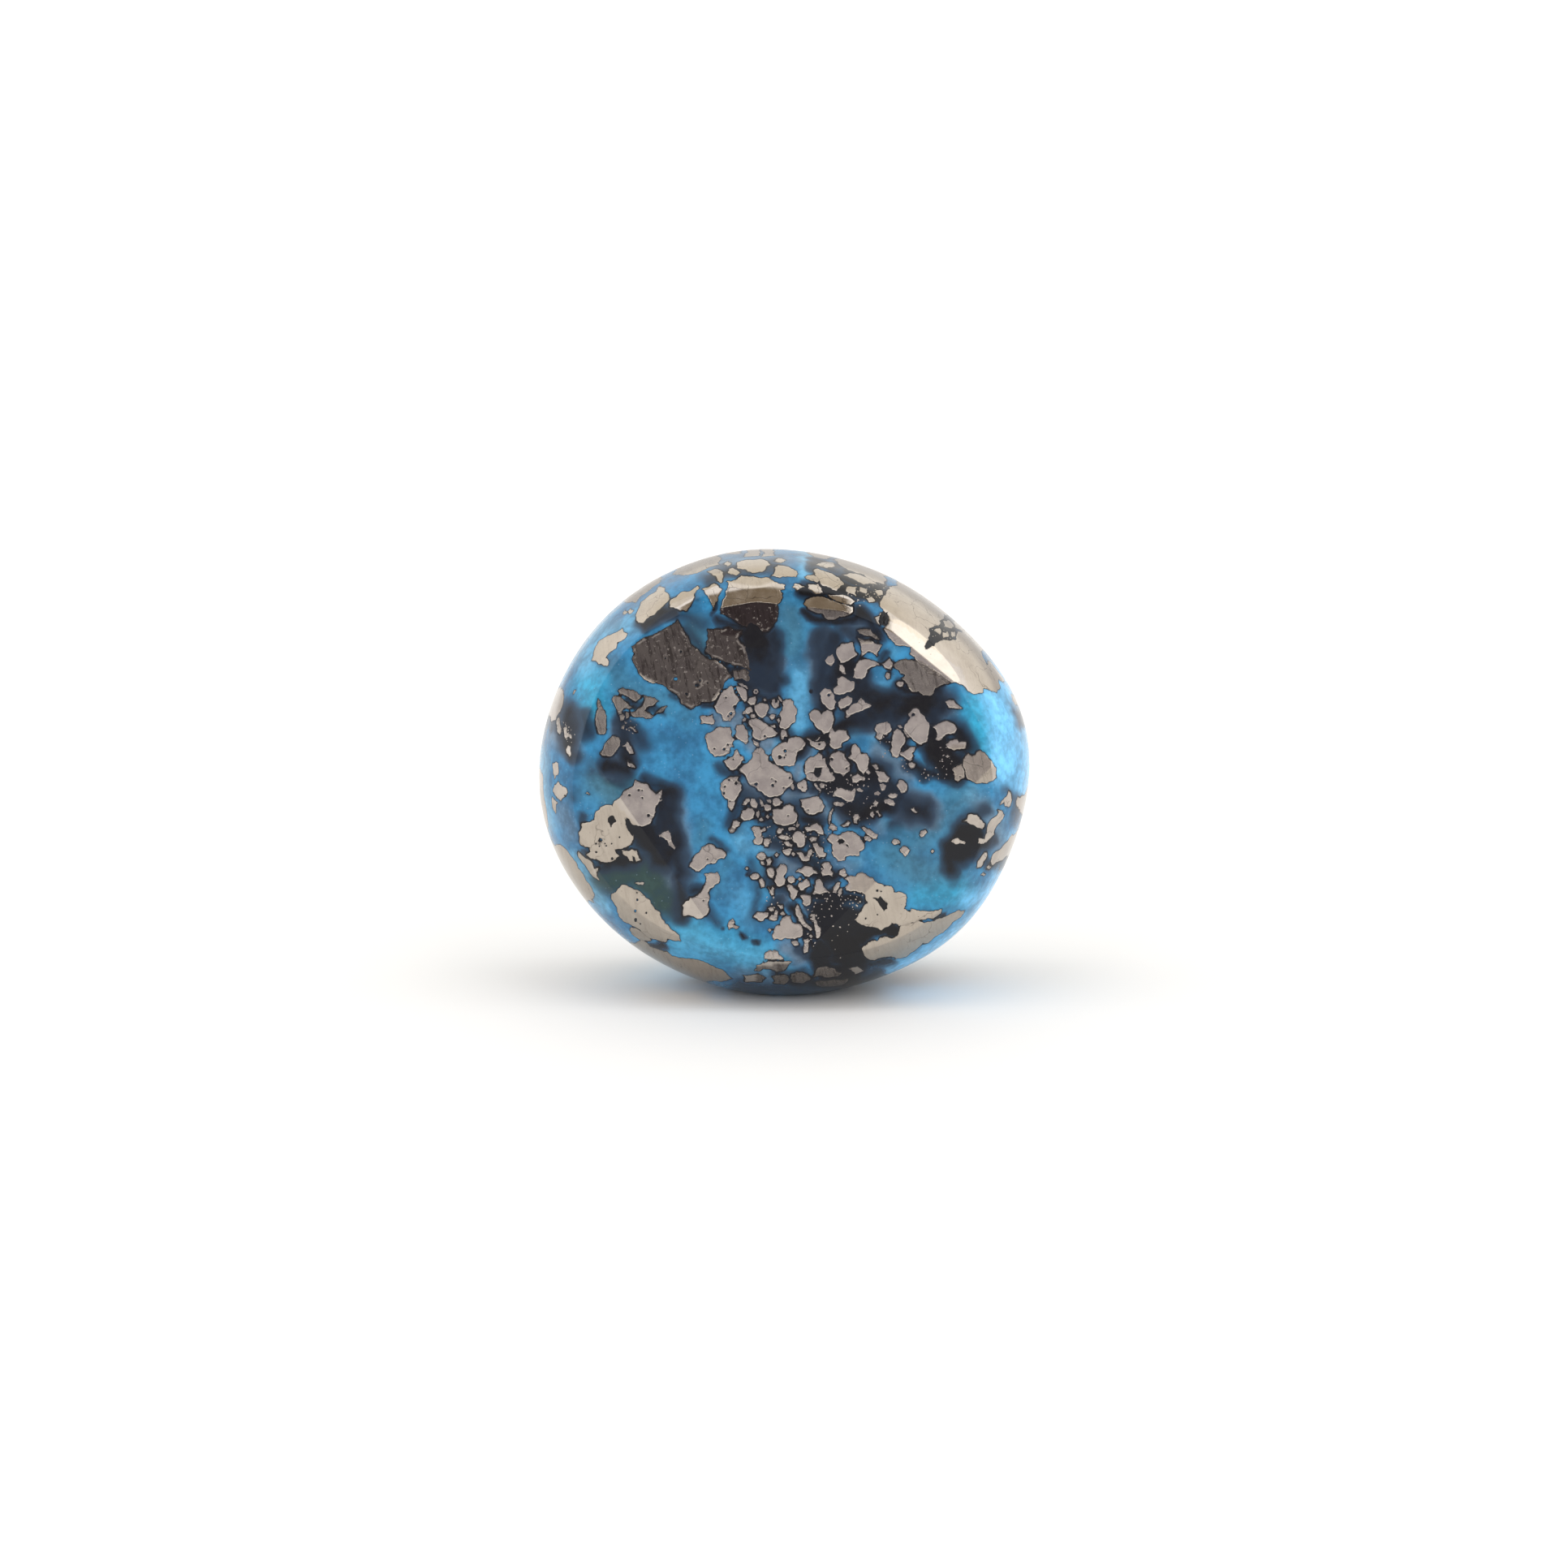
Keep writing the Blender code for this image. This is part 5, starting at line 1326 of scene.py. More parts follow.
def rim_distances(stone, places, front, back):
    """How far each place lies from the nearest point of an outline, up to 1 mm."""
    points = [place for outline in front for place in stone.place(*outline.T, -1)]
    points += [place for outline in back for place in stone.place(*outline.T, 1)]
    rim = kdtree.KDTree(len(points))
    for number, place in enumerate(points):
        rim.insert(place, number)
    rim.balance()
    return np.minimum([rim.find(place)[2] for place in places], 1.0)


def tarnish_and_dark_reflection_layer(places, normals):
    """How dark the pyrite is made at each place: dull, scratched metal, and on the front also painted dark
    reflection.
    """
    picture = on_picture(places)
    tarnish_and_dark_reflection = np.zeros(len(places))
    plates = [DarkenedArea(*pair) for pair in zip(DARK_PLATES, PLATE_DARKENING)]
    for outline, darkening in plates + DARKENED_ON_FACE:
        tarnish_and_dark_reflection = np.maximum(tarnish_and_dark_reflection, darkening * inside_outline(picture, outline))
    main_face = np.array((0.0, -math.cos(MAIN_FACE_LEAN), math.sin(MAIN_FACE_LEAN)))
    # The face's plates are darkened only as far as the flats round it, since their painted dark reflection
    # belongs to the flat face alone
    tarnish_and_dark_reflection *= smooth(0.955, 0.975, normals @ main_face)
    for outline, darkening in DARKENED_AT_RIM:
        tarnish_and_dark_reflection = np.maximum(tarnish_and_dark_reflection, darkening * inside_outline(picture, outline))
    tarnish_and_dark_reflection *= facing(places, normals) > 0.0
    hidden = 1.0 - seen_share(places, normals)
    return np.maximum(tarnish_and_dark_reflection, hidden * smooth(0.6, 1.0, waves(places, *DULL_PATCHES)))


def build_stone_mesh(settings, materials):
    """The stone's whole mesh in metres, with its normals, shades and pyrite faces."""
    stone = Stone(settings.edge_width / MM)
    front, holes, back = all_outlines(stone, settings)
    spacing = settings.spacing / MM
    front_uv, front_faces, front_pyrite, front_ring = chart_mesh(stone, -1, spacing, front, holes)
    spacing *= BACK_COARSENESS
    back_uv, back_faces, back_pyrite, back_ring = chart_mesh(stone, 1, spacing, back, [])

    # The back's points on the seam are left out, and its faces take the front's instead
    kept = np.ones(len(back_uv), dtype=bool)
    kept[back_ring] = False
    renumber = np.cumsum(kept) - 1 + len(front_uv)
    renumber[back_ring] = front_ring
    back_uv = back_uv[kept]
    places = np.concatenate((stone.place(*front_uv.T, -1), stone.place(*back_uv.T, 1)))
    normals = np.concatenate((stone.normal(*front_uv.T, -1), stone.normal(*back_uv.T, 1)))
    faces = np.concatenate((front_faces, renumber[back_faces[:, ::-1]]))
    pyrite = np.concatenate((front_pyrite, back_pyrite))

    mesh = bpy.data.meshes.new("turquoise_stone")
    mesh.from_pydata((places * MM).tolist(), [], faces.tolist())
    for material in materials:
        mesh.materials.append(material)
    mesh.polygons.foreach_set("material_index", pyrite.astype(np.int32))
    mesh.shade_smooth()
    for name, values in shade_layers(places, normals).items():
        point_attribute(mesh, name, values)
    point_attribute(mesh, "rim_distance", rim_distances(stone, places, front + holes, back))
    point_attribute(mesh, "tarnish_and_dark_reflection", tarnish_and_dark_reflection_layer(places, normals))
    mesh.validate()
    mesh.normals_split_custom_set_from_vertices(normals.tolist())
    return mesh


def inside_outline(points, outline, margin=0.04):
    """1 inside an outline widened by a small margin, else 0."""
    nearest = line_distance(points, outline, np.roll(outline, -1, axis=0))
    return (crossing_inside(points, outline) | (nearest < margin)).astype(float)


# Shader building

# How fine each pattern of the stone and the pyrite is: how many times it repeats in a metre
STONE_CLOUDS = 700.0
STONE_GRAIN = 3200.0
STONE_FINE_GRAIN = 8000.0
STONE_FLECKS = 6500.0
MATRIX_HAZE = 420.0
METAL_CLOUDS = 1500.0
METAL_LINES = 1000.0
METAL_GRIT = 7500.0
METAL_EDGE_GLINTS = 2600.0
CRACK_CELLS = 950.0
CRACK_BENDS = 2500.0
CRACKED_AREAS = 600.0
FINE_PITS = 8000.0
BROAD_PITS = 2600.0
# The dark rim round each chip, in mm: its width in clear blue, and how much more in full matrix
RIM_WIDTH = 0.032
RIM_IN_MATRIX = 0.17
# The lines ground into the dull plates: how far they lean, and how many times longer than wide
LINES_LEAN = math.radians(12.0)
LINES_STRETCH = 7.0
STONE_IOR = 1.4


class Nodes:
    """A small helper that adds and joins the nodes of one tree."""

    def __init__(self, tree):
        self.tree = tree

    def add(self, kind, inputs=(), **settings):
        """A new node with its settings and the values or links of its inputs."""
        node = self.tree.nodes.new(kind)
        for name, value in settings.items():
            setattr(node, name, value)
        for name, value in dict(inputs).items():
            self.feed(node.inputs[name], value)
        return node

    def feed(self, socket, value):
        """Links a socket to another, or sets its value. A colour is given as red, green and blue."""
        if isinstance(value, bpy.types.NodeSocket):
            self.tree.links.new(value, socket)
        elif socket.type == "RGBA":
            socket.default_value = (*value, 1.0)
        else:
            socket.default_value = value

    def value(self, name):
        return self.add("ShaderNodeAttribute", attribute_name=name).outputs["Fac"]

    def math(self, operation, *values):
        node = self.tree.nodes.new("ShaderNodeMath")
        node.operation = operation
        for socket, value in zip(node.inputs, values):
            self.feed(socket, value)
        return node.outputs[0]

    def plus(self, first, second):
        return self.math("ADD", first, second)

    def minus(self, first, second):
        return self.math("SUBTRACT", first, second)

    def times(self, first, second):
        return self.math("MULTIPLY", first, second)

    def over(self, first, second):
        return self.math("DIVIDE", first, second)

    def least(self, first, second):
        return self.math("MINIMUM", first, second)

    def most(self, first, second):
        return self.math("MAXIMUM", first, second)

    def rise(self, value, low, high, start=0.0, end=1.0):
        """A smooth change from start to end as the value goes from low to high."""
        node = self.add(
            "ShaderNodeMapRange",
            {"Value": value, "From Min": low, "From Max": high, "To Min": start, "To Max": end},
            interpolation_type="SMOOTHSTEP",
        )
        return node.outputs["Result"]

    def mix(self, share, first, second, blend="MIX"):
        node = self.add(
            "ShaderNodeMix", {0: share, 6: first, 7: second}, data_type="RGBA", blend_type=blend
        )
        return node.outputs[2]

    def noise(self, place, scale, detail=2.0, roughness=0.5):
        node = self.add(
            "ShaderNodeTexNoise",
            {"Vector": place, "Scale": scale, "Detail": detail, "Roughness": roughness},
        )
        return node.outputs["Fac"]


def speckle_group():
    """Small scattered spots: a share of the cells of a random pattern, each with an uneven edge."""
    tree = bpy.data.node_groups.new("Speckle", "ShaderNodeTree")
    for name in ("Scale", "Share", "Size"):
        tree.interface.new_socket(name=name, in_out="INPUT", socket_type="NodeSocketFloat")
    tree.interface.new_socket(name="Spots", in_out="OUTPUT", socket_type="NodeSocketFloat")
    nodes = Nodes(tree)
    given = nodes.add("NodeGroupInput")
    result = nodes.add("NodeGroupOutput")
    place = nodes.add("ShaderNodeTexCoord").outputs["Object"]
    cells = nodes.add("ShaderNodeTexVoronoi", {"Vector": place, "Scale": given.outputs["Scale"]})
    pick = nodes.add("ShaderNodeSeparateColor", {"Color": cells.outputs["Color"]}).outputs[0]
    chosen = nodes.math("LESS_THAN", pick, given.outputs["Share"])
    ragged = nodes.noise(place, nodes.times(given.outputs["Scale"], 3.0), 1.0)
    edge = nodes.plus(cells.outputs["Distance"], nodes.times(ragged, 0.3))
    near = nodes.rise(nodes.minus(edge, given.outputs["Size"]), 0.1, 0.22, 1.0, 0.0)
    nodes.feed(result.inputs["Spots"], nodes.times(chosen, near))
    return tree


def use_group(nodes, tree, **inputs):
    """The first output of a shader group."""
    return nodes.add("ShaderNodeGroup", node_tree=tree, inputs=inputs).outputs[0]


def new_material(name):
    """A material, the helper for its nodes, and its main shader's inputs."""
    material = bpy.data.materials.new(name)
    material.use_nodes = True
    nodes = Nodes(material.node_tree)
    return material, nodes, material.node_tree.nodes["Principled BSDF"].inputs


def bump(nodes, strength, height):
    """A normal that follows a height given in steps of 0.01 mm."""
    inputs = {"Strength": strength, "Distance": 0.01 * MM, "Height": height}
    return nodes.add("ShaderNodeBump", inputs).outputs[0]


def turquoise_material(settings, speckle):
    """Polished turquoise: its blues, the dark matrix, and the thin dark rim round each chip."""
    material, nodes, shader = new_material("turquoise")
    place = nodes.add("ShaderNodeTexCoord").outputs["Object"]

    cloud = nodes.noise(place, STONE_CLOUDS, 3.0, 0.55)
    grain = nodes.noise(place, STONE_GRAIN, 2.0, 0.6)
    fine = nodes.noise(place, STONE_FINE_GRAIN, 1.0, 0.5)
    cloud_lean = nodes.times(nodes.minus(cloud, 0.5), 0.35)
    lean = nodes.plus(cloud_lean, nodes.times(nodes.minus(grain, 0.5), 0.3))

    def layer(name):
        weight = nodes.value(name)
        moved = nodes.times(weight, nodes.plus(1.0, lean))
        return nodes.least(moved, 1.0)

    blue = nodes.mix(nodes.rise(cloud, 0.3, 0.7), settings.deep_blue, settings.blue)
    for name in ("teal", "cyan", "pale", "lit_edge", "deep_green", "slate"):
        blue = nodes.mix(layer(name), blue, getattr(settings, name))
    mottle = nodes.plus(nodes.times(cloud, 0.5), nodes.times(grain, 0.5))
    mottle = nodes.rise(mottle, 0.35, 0.65, 0.76, 1.2)
    mottle = nodes.add("ShaderNodeCombineColor", {0: mottle, 1: mottle, 2: mottle}).outputs[0]
    blue = nodes.mix(1.0, blue, mottle, "MULTIPLY")
    flecks = use_group(nodes, speckle, Scale=STONE_FLECKS, Share=0.2, Size=0.15)
    blue = nodes.mix(nodes.times(flecks, 0.2), blue, settings.fleck)

    matrix = nodes.value("matrix")
    between = nodes.times(matrix, nodes.minus(1.0, matrix))
    uneven = nodes.plus(matrix, nodes.times(lean, nodes.times(between, 4.0)))
    shadow = nodes.rise(uneven, 0.03, 0.55)
    solid = nodes.rise(uneven, 0.42, 1.0)
    rim = nodes.value("rim_distance")
    reach = nodes.plus(RIM_WIDTH, nodes.times(matrix, RIM_IN_MATRIX))
    rim = nodes.plus(rim, nodes.times(nodes.minus(fine, 0.5), 0.05))
    rim = nodes.over(rim, reach)
    rim_solid = nodes.rise(rim, 0.2, 1.2, 1.0, 0.0)
    rim_shadow = nodes.rise(rim, 0.5, 3.6, 1.0, 0.0)
    shadow = nodes.most(shadow, nodes.times(rim_shadow, 0.45))
    solid = nodes.most(solid, rim_solid)
    stone = nodes.mix(nodes.times(shadow, 0.85), blue, settings.shadow_blue)
    haze = nodes.rise(nodes.noise(place, MATRIX_HAZE, 3.0, 0.6), 0.38, 0.6)
    hazy = nodes.times(haze, nodes.most(nodes.value("slate"), 0.12))
    black = nodes.mix(hazy, settings.matrix, settings.matrix_light)
    stone = nodes.mix(solid, stone, black)
    nodes.feed(shader["Base Color"], stone)
    nodes.feed(shader["Roughness"], nodes.rise(grain, 0.3, 0.7, 0.13, 0.22))
    nodes.feed(shader["IOR"], STONE_IOR)
    nodes.feed(shader["Normal"], bump(nodes, 0.25, nodes.rise(nodes.value("rim_distance"), 0.0, 0.08)))
    return material


def pyrite_material(settings, speckle):
    """Pyrite ground flush with the stone: metallic, finely pitted, dull and scratched in places, and
    darkened on the front's plates by painted dark reflection.
    """
    material, nodes, shader = new_material("pyrite")
    place = nodes.add("ShaderNodeTexCoord").outputs["Object"]
    tarnish_and_dark_reflection = nodes.value("tarnish_and_dark_reflection")
    rim = nodes.value("rim_distance")
    cloud = nodes.noise(place, METAL_CLOUDS, 3.0, 0.6)
    slant, stretch = (0.0, LINES_LEAN, 0.0), (LINES_STRETCH, 1.0, 1.0)
    turned = nodes.add("ShaderNodeMapping", {"Vector": place, "Rotation": slant}).outputs[0]
    drawn_out = nodes.add("ShaderNodeMapping", {"Vector": turned, "Scale": stretch}).outputs[0]
    lines = nodes.noise(drawn_out, METAL_LINES, 4.0, 0.7)
    scratch = nodes.times(nodes.rise(lines, 0.5, 0.62), tarnish_and_dark_reflection)
    metal = nodes.mix(nodes.rise(cloud, 0.3, 0.7), settings.metal_dark, settings.metal)
    yellowed = nodes.rise(tarnish_and_dark_reflection, 0.02, 0.08)
    yellowed = nodes.times(yellowed, nodes.rise(tarnish_and_dark_reflection, 0.28, 0.4, 1.0, 0.0))
    metal = nodes.mix(nodes.times(yellowed, 0.38), metal, settings.yellow_metal)
    # Dull metal, which on the front's plates also stands for a painted dark reflection
    metal = nodes.mix(tarnish_and_dark_reflection, metal, settings.tarnish_and_dark_reflection)
    metal = nodes.mix(nodes.times(scratch, 0.75), metal, settings.scratch)
    grit = nodes.noise(place, METAL_GRIT, 2.0, 0.6)
    # Painted glints: spots and edges of the dull plates take the clean metal's colour
    glint = nodes.times(nodes.rise(grit, 0.6, 0.7), nodes.rise(tarnish_and_dark_reflection, 0.5, 0.9))
    edge_glint = nodes.times(nodes.rise(rim, 0.03, 0.06), nodes.rise(rim, 0.08, 0.14, 1.0, 0.0))
    edge_glint = nodes.times(edge_glint, nodes.rise(nodes.noise(place, METAL_EDGE_GLINTS), 0.52, 0.6))
    glint = nodes.most(glint, nodes.times(edge_glint, nodes.rise(tarnish_and_dark_reflection, 0.5, 0.8)))
    metal = nodes.mix(nodes.times(glint, 0.4), metal, settings.metal)

    # Fine cracks along the borders of a bent pattern of cells, here and there
    wander = nodes.add("ShaderNodeTexNoise", {"Vector": place, "Scale": CRACK_BENDS, "Detail": 2.0})
    wander = nodes.add(
        "ShaderNodeVectorMath", {0: wander.outputs["Color"], "Scale": 0.45 * MM}, operation="SCALE"
    )
    bent = nodes.add("ShaderNodeVectorMath", {0: place, 1: wander.outputs[0]}, operation="ADD")
    cells = nodes.add(
        "ShaderNodeTexVoronoi",
        {"Vector": bent.outputs[0], "Scale": CRACK_CELLS},
        feature="DISTANCE_TO_EDGE",
    )
    crack = nodes.rise(cells.outputs["Distance"], 0.0, 0.022, 1.0, 0.0)
    crack = nodes.times(crack, nodes.rise(nodes.noise(place, CRACKED_AREAS), 0.46, 0.6))
    metal = nodes.mix(nodes.times(crack, 0.5), metal, settings.pit)

    fine_pits = use_group(nodes, speckle, Scale=FINE_PITS, Share=0.08, Size=0.12)
    broad_pits = use_group(nodes, speckle, Scale=BROAD_PITS, Share=0.08, Size=0.05)
    pits = nodes.most(nodes.times(fine_pits, 0.6), broad_pits)
    metal = nodes.mix(pits, metal, settings.pit)
    metal = nodes.mix(nodes.rise(rim, 0.0, 0.03, 0.22, 0.0), metal, settings.pit)
    nodes.feed(shader["Base Color"], metal)
    nodes.feed(shader["Metallic"], 1.0)
    rough = nodes.plus(nodes.rise(cloud, 0.3, 0.7, 0.14, 0.21), nodes.times(tarnish_and_dark_reflection, 0.14))
    nodes.feed(shader["Roughness"], nodes.most(rough, nodes.times(pits, 0.8)))
    worn = nodes.times(nodes.plus(lines, grit), tarnish_and_dark_reflection)
    edge = nodes.times(nodes.rise(rim, 0.0, 0.05), nodes.plus(0.6, tarnish_and_dark_reflection))
    nodes.feed(shader["Normal"], bump(nodes, 0.5, nodes.plus(worn, edge)))
    return material


def shade_property(name, description, default):
    return FloatVectorProperty(
        name=name, description=description, default=default, subtype="COLOR", size=3, min=0.0, max=1.0
    )


def length_property(name, description, default, least):
    return FloatProperty(
        name=name, description=description, default=default, min=least, unit="LENGTH", precision=5
    )


def whole_property(name, description, default):
    return IntProperty(name=name, description=description, default=default, min=0)


class StoneSettings(bpy.types.PropertyGroup):
    """The stone's finish and the fineness of its mesh"""

    edge_width: length_property(
        "Edge width", "How wide the polished edges between flats are", 0.1 * MM, 0.02 * MM
    )
    spacing: length_property(
        "Point spacing", "Distance between the mesh's points, far from edges", 0.17 * MM, 0.05 * MM
    )
    side_chips: whole_property("Side chips", "Pyrite chips on the hidden sides", 200)
    back_chips: whole_property("Back chips", "Pyrite chips on the back", 300)
    seed: whole_property("Seed", "Number that fixes the random chips and edges", 5)
    blue: shade_property("Blue", "The stone's main blue", (0.032, 0.212, 0.405))
    deep_blue: shade_property("Deep blue", "The darker clouds in the main blue", (0.024, 0.148, 0.305))
    # Also the colour of the painted light along the left and upper-left rims
    pale: shade_property("Pale blue", "The lightest patches", (0.135, 0.385, 0.580))
    lit_edge: shade_property("Lit edge", "Where light shines through the edge", (0.170, 0.540, 0.880))
    cyan: shade_property("Cyan", "Bright green-blue patches near the rim", (0.030, 0.325, 0.530))
    teal: shade_property("Teal", "Quieter green-blue patches", (0.042, 0.155, 0.240))
    deep_green: shade_property("Deep green", "Dark green-grey patches", (0.020, 0.050, 0.048))
    slate: shade_property("Slate", "Grey-blue patches between the chips", (0.105, 0.172, 0.250))
    fleck: shade_property("Fleck", "The finest pale grains", (0.340, 0.500, 0.640))
    shadow_blue: shade_property("Shadow blue", "The blue just beside the matrix", (0.011, 0.024, 0.050))
    matrix: shade_property("Matrix", "The dark matrix", (0.0020, 0.0016, 0.0030))
    matrix_light: shade_property("Lighter matrix", "The matrix's greyer parts", (0.0075, 0.0165, 0.0330))


class PyriteSettings(bpy.types.PropertyGroup):
    """The pyrite's finish and its finest grains"""

    metal: shade_property("Metal", "Clean polished pyrite", (0.52, 0.470, 0.42))
    metal_dark: shade_property("Darker metal", "The clouds in clean pyrite", (0.44, 0.395, 0.355))
    yellow_metal: shade_property("Yellowed metal", "Lightly dulled pyrite", (0.520, 0.445, 0.345))
    # Dull pyrite's colour, which on the front's plates also stands for a painted dark reflection
    tarnish_and_dark_reflection: shade_property("Tarnish", "Dulled pyrite", (0.042, 0.032, 0.032))
    scratch: shade_property("Scratch", "Lines in the dulled pyrite", (0.026, 0.020, 0.019))
    pit: shade_property("Pit", "Pits in the pyrite", (0.020, 0.016, 0.014))
    dust_density: FloatProperty(
        name="Dust density",
        description="Finest grains per square metre where they lie thickest",
        default=32.0e6,
        min=0.0,
    )
    dust_size: length_property(
        "Dust size", "Radius of the largest of the finest grains", 0.05 * MM, 0.005 * MM
    )
    dust_seed: whole_property("Dust seed", "Number that fixes where the grains lie", 3)


class StageSettings(bpy.types.PropertyGroup):
    """The floor and the light"""

    floor: shade_property("Floor", "The floor's colour", (0.86, 0.855, 0.855))
    floor_radius: length_property("Floor radius", "How far the floor reaches", 3.0, 0.1)
    white: shade_property("White", "The soft light all round", (1.0, 1.0, 1.0))
    brightness: FloatProperty(name="Brightness", description="Strength of the light", default=1.6, min=0.0)
    behind: shade_property("Behind", "The quieter part of the studio above and behind", (0.72, 0.69, 0.62))
    low_behind: shade_property("Low behind", "The studio wall close behind the stone", (0.80, 0.785, 0.75))
    horizon: shade_property("Horizon", "The foot of that wall", (0.50, 0.49, 0.48))
    window: FloatVectorProperty(
        name="Window",
        description="The brighter part of the studio, up on the right",
        default=(1.5, 1.48, 1.42),
        subtype="COLOR",
        size=3,
        min=0.0,
    )
    front: shade_property("Front", "What the main face mirrors", (0.36, 0.345, 0.375))
    above_front: shade_property("Above the front", "What the top flats mirror", (0.21, 0.168, 0.119))


def settings_of(context):
    """The settings of the stone, the pyrite and the stage."""
    scene = context.scene
    return scene.turquoise_stone, scene.turquoise_pyrite, scene.turquoise_stage


def add_piece(name, mesh):
    """A new object in the scene."""
    piece = bpy.data.objects.new(name, mesh)
    bpy.context.scene.collection.objects.link(piece)
    return piece


def shared_speckle():
    return bpy.data.node_groups.get("Speckle") or speckle_group()


def shared_pyrite(settings):
    return bpy.data.materials.get("pyrite") or pyrite_material(settings, shared_speckle())


class TURQUOISE_OT_stone(bpy.types.Operator):
    """Builds the stone with its matrix and its pyrite chips"""

    bl_idname = "turquoise.stone"
    bl_label = "Stone"

    def execute(self, context):
        stone_settings, pyrite_settings, _ = settings_of(context)
        turquoise = turquoise_material(stone_settings, shared_speckle())
        materials = (turquoise, shared_pyrite(pyrite_settings))
        mesh = build_stone_mesh(stone_settings, materials)
        stone = add_piece("polished_stone", mesh)
        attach(stone, "root")
        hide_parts(STONE_NODE)
        return {"FINISHED"}


def dust_tree(material):
    """Geometry Nodes: thin six-sided grains scattered over a mesh by its dust value."""
    tree = bpy.data.node_groups.new("pyrite_dust", "GeometryNodeTree")
    tree.interface.new_socket(name="Stone", in_out="INPUT", socket_type="NodeSocketGeometry")
    for name, kind in (("Density", "Float"), ("Largest radius", "Float"), ("Seed", "Int")):
        tree.interface.new_socket(name=name, in_out="INPUT", socket_type="NodeSocket" + kind)
    tree.interface.new_socket(name="Grains", in_out="OUTPUT", socket_type="NodeSocketGeometry")
    nodes = Nodes(tree)
    given = nodes.add("NodeGroupInput")
    result = nodes.add("NodeGroupOutput")
    dust = nodes.add("GeometryNodeInputNamedAttribute", {"Name": "dust"}, data_type="FLOAT").outputs[0]
    density = nodes.times(dust, given.outputs["Density"])
    scatter = nodes.add(
        "GeometryNodeDistributePointsOnFaces",
        {"Mesh": given.outputs["Stone"], "Density": density, "Seed": given.outputs["Seed"]},
    )
    grain = nodes.add(
        "GeometryNodeMeshCylinder", {"Vertices": 6, "Radius": 1.0, "Depth": 0.3}, fill_type="NGON"
    )
    smallest, largest = (0.25, 0.2, 0.15), (1.0, 0.8, 0.15)
    share = nodes.add(
        "FunctionNodeRandomValue", {"Min": smallest, "Max": largest, "Seed": 5}, data_type="FLOAT_VECTOR"
    )
    size = nodes.add(
        "ShaderNodeVectorMath",
        {0: share.outputs[0], "Scale": given.outputs["Largest radius"]},
        operation="SCALE",
    )
    spin = nodes.add("FunctionNodeRandomValue", {3: math.tau, "Seed": 9}, data_type="FLOAT")
    turn = nodes.add("FunctionNodeAxisAngleToRotation", {"Angle": spin.outputs[1]})
    rotation = nodes.add(
        "FunctionNodeRotateRotation",
        {0: scatter.outputs["Rotation"], 1: turn.outputs[0]},
        rotation_space="LOCAL",
    )
    grains = nodes.add(
        "GeometryNodeInstanceOnPoints",
        {
            "Points": scatter.outputs["Points"],
            "Instance": grain.outputs["Mesh"],
            "Rotation": rotation.outputs[0],
            "Scale": size.outputs[0],
        },
    )
    real = nodes.add("GeometryNodeRealizeInstances", {"Geometry": grains.outputs["Instances"]})
    coat = nodes.add("GeometryNodeSetMaterial", {"Geometry": real.outputs[0], "Material": material})
    nodes.feed(result.inputs["Grains"], coat.outputs[0])
    return tree


def set_modifier_input(modifier, name, value):
    """Sets an input of a Geometry Nodes modifier by the name it has in the tree."""
    for item in modifier.node_group.interface.items_tree:
        if item.item_type == "SOCKET" and item.in_out == "INPUT" and item.name == name:
            modifier[item.identifier] = value
            return
    raise RuntimeError(f"the tree has no input named {name}")


class TURQUOISE_OT_dust(bpy.types.Operator):
    """Scatters the finest pyrite grains over the stone"""

    bl_idname = "turquoise.dust"
    bl_label = "Pyrite dust"

    def execute(self, context):
        _, settings, _ = settings_of(context)
        stone = bpy.data.objects.get("polished_stone")
        if stone is None:
            raise RuntimeError("build the stone before its dust")
        holder = add_piece("dust_holder", stone.data.copy())
        modifier = holder.modifiers.new("grains", "NODES")
        modifier.node_group = dust_tree(shared_pyrite(settings))
        set_modifier_input(modifier, "Density", settings.dust_density)
        set_modifier_input(modifier, "Largest radius", settings.dust_size)
        set_modifier_input(modifier, "Seed", settings.dust_seed)
        context.view_layer.update()
        evaluated = holder.evaluated_get(context.evaluated_depsgraph_get())
        mesh = bpy.data.meshes.new_from_object(evaluated)
        bpy.data.objects.remove(holder)
        if not mesh.polygons:
            raise RuntimeError("no dust was scattered")
        mesh.name = "pyrite_dust"
        dust = add_piece("pyrite_dust", mesh)
        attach(dust, "root")
        return {"FINISHED"}


def make_camera():
    """The photo's camera."""
    right, up, back = camera_axes()
    data = bpy.data.cameras.new("camera")
    data.lens = CAMERA_LENS_MM
    data.sensor_width = CAMERA_SENSOR_MM
    data.clip_start = 0.01
    data.clip_end = 20.0
    camera = bpy.data.objects.new("camera", data)
    turned = Matrix((right, up, back)).transposed().to_4x4()
    camera.matrix_world = Matrix.Translation(Vector(camera_place() * MM)) @ turned
    bpy.context.scene.collection.objects.link(camera)
    bpy.context.scene.camera = camera


def make_floor(settings):
    """A plain round floor."""
    material, nodes, shader = new_material("floor")
    nodes.feed(shader["Base Color"], settings.floor)
    nodes.feed(shader["Roughness"], 0.75)
    sides = 96
    turns = [math.tau * number / sides for number in range(sides)]
    radius = settings.floor_radius
    corners = [(radius * math.cos(turn), radius * math.sin(turn), 0.0) for turn in turns]
    mesh = bpy.data.meshes.new("floor")
    mesh.from_pydata(corners, [], [list(range(sides))])
    mesh.materials.append(material)
    add_piece("floor", mesh)


Lobe = namedtuple("Lobe", "shade azimuth elevation wide high soft")
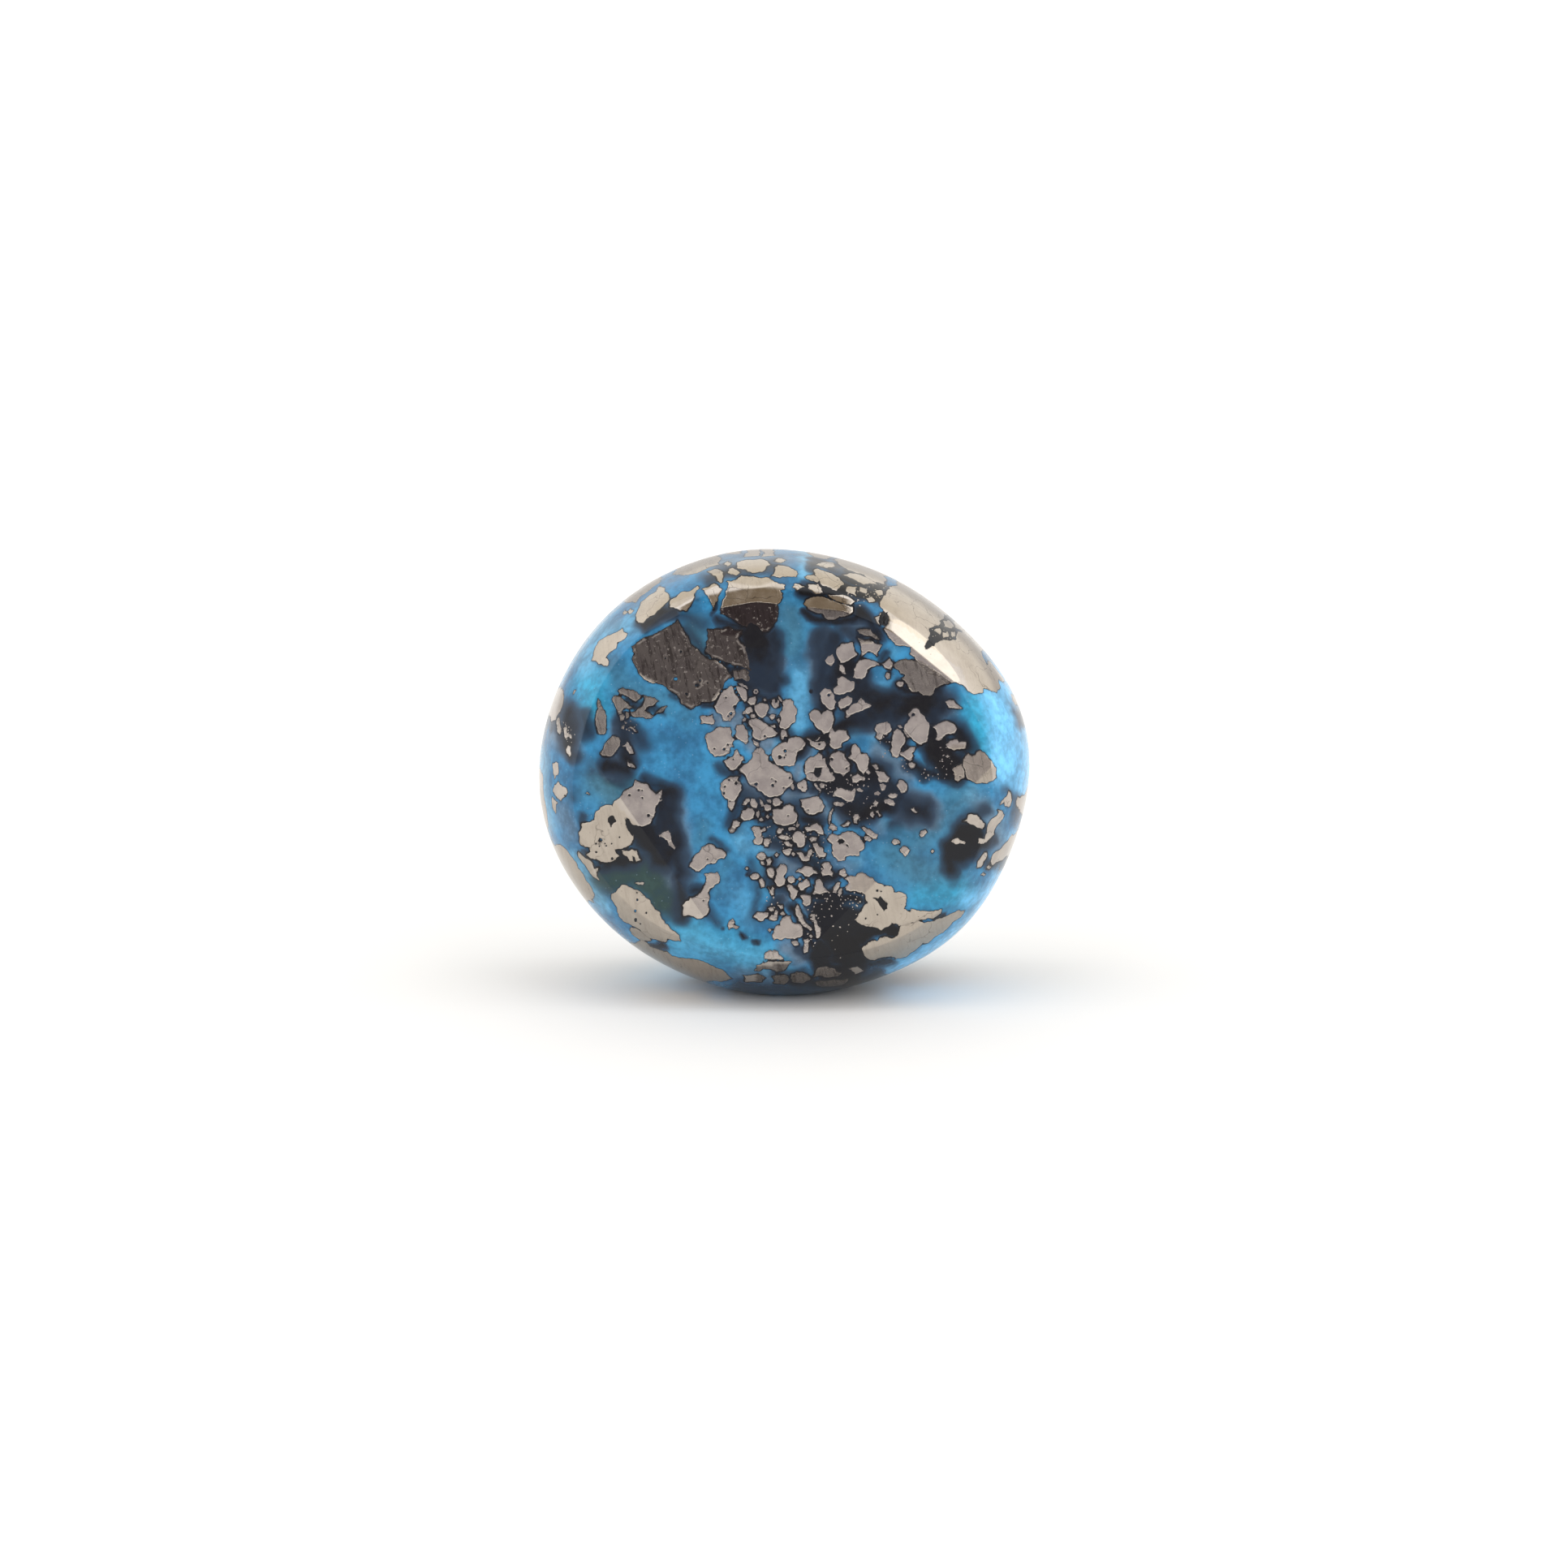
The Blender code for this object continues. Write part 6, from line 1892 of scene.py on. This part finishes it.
# What stood round the stone, each over the ones before: the setting with its colour, the middle's
# direction (0 is the camera's side), half its width and height, and its soft edge, in degrees
LOBES = (
    Lobe("behind", 180.0, 62.0, 70.0, 30.0, 16.0),
    Lobe("low_behind", 180.0, 22.0, 75.0, 18.0, 10.0),
    Lobe("horizon", 180.0, 9.0, 75.0, 9.0, 5.0),
    Lobe("window", 42.0, 38.0, 15.0, 12.0, 6.0),
    Lobe("above_front", 0.0, 42.0, 26.0, 30.0, 10.0),
    Lobe("front", 0.0, 4.0, 14.0, 14.0, 5.0),
)


def lobe_share(nodes, direction, lobe):
    """1 within an oval of directions of the sky, fading to 0 over its soft edge."""
    parts = nodes.add("ShaderNodeSeparateXYZ", {"Vector": direction}).outputs
    level = nodes.math("ARCSINE", parts[2])
    way = nodes.math("ARCTAN2", parts[0], nodes.times(parts[1], -1.0))
    turn = nodes.math("ABSOLUTE", nodes.minus(way, math.radians(lobe.azimuth)))
    turn = nodes.least(turn, nodes.minus(math.tau, turn))
    side = nodes.over(turn, math.radians(lobe.wide))
    lift = nodes.over(nodes.minus(level, math.radians(lobe.elevation)), math.radians(lobe.high))
    far = nodes.math("SQRT", nodes.plus(nodes.times(side, side), nodes.times(lift, lift)))
    blur = lobe.soft / min(lobe.wide, lobe.high)
    return nodes.rise(far, 1.0 - blur / 2.0, 1.0 + blur / 2.0, 1.0, 0.0)


def make_light(settings):
    """A white studio all round, with the quieter things that stood in front of the stone."""
    world = bpy.data.worlds.new("studio")
    bpy.context.scene.world = world
    world.use_nodes = True
    nodes = Nodes(world.node_tree)
    background = world.node_tree.nodes["Background"]
    direction = nodes.add("ShaderNodeTexCoord").outputs["Generated"]
    sky = settings.white
    for lobe in LOBES:
        sky = nodes.mix(lobe_share(nodes, direction, lobe), sky, getattr(settings, lobe.shade))
    nodes.feed(background.inputs["Color"], sky)
    nodes.feed(background.inputs["Strength"], settings.brightness)


class TURQUOISE_OT_stage(bpy.types.Operator):
    """Makes the camera, the floor and the light"""

    bl_idname = "turquoise.stage"
    bl_label = "Stage"

    def execute(self, context):
        _, _, settings = settings_of(context)
        make_camera()
        make_floor(settings)
        make_light(settings)
        context.scene.view_settings.view_transform = "Standard"
        return {"FINISHED"}


class TURQUOISE_PT_panel(bpy.types.Panel):
    """Buttons that build the nugget"""

    bl_idname = "TURQUOISE_PT_panel"
    bl_label = "Turquoise nugget"
    bl_space_type = "VIEW_3D"
    bl_region_type = "UI"
    bl_category = "Turquoise"

    def draw(self, context):
        for operator in OPERATORS:
            self.layout.operator(operator.bl_idname)


OPERATORS = (TURQUOISE_OT_stone, TURQUOISE_OT_dust, TURQUOISE_OT_stage)
SETTINGS = (
    ("turquoise_stone", StoneSettings),
    ("turquoise_pyrite", PyriteSettings),
    ("turquoise_stage", StageSettings),
)


def register():
    for name, group in SETTINGS:
        bpy.utils.register_class(group)
        setattr(bpy.types.Scene, name, PointerProperty(type=group))
    for kind in OPERATORS + (TURQUOISE_PT_panel,):
        bpy.utils.register_class(kind)


def unregister():
    for kind in reversed(OPERATORS + (TURQUOISE_PT_panel,)):
        bpy.utils.unregister_class(kind)
    for name, group in reversed(SETTINGS):
        delattr(bpy.types.Scene, name)
        bpy.utils.unregister_class(group)


def main():
    register()
    bpy.ops.turquoise.stone()
    bpy.ops.turquoise.dust()
    bpy.ops.turquoise.stage()


if __name__ == "__main__":
    main()
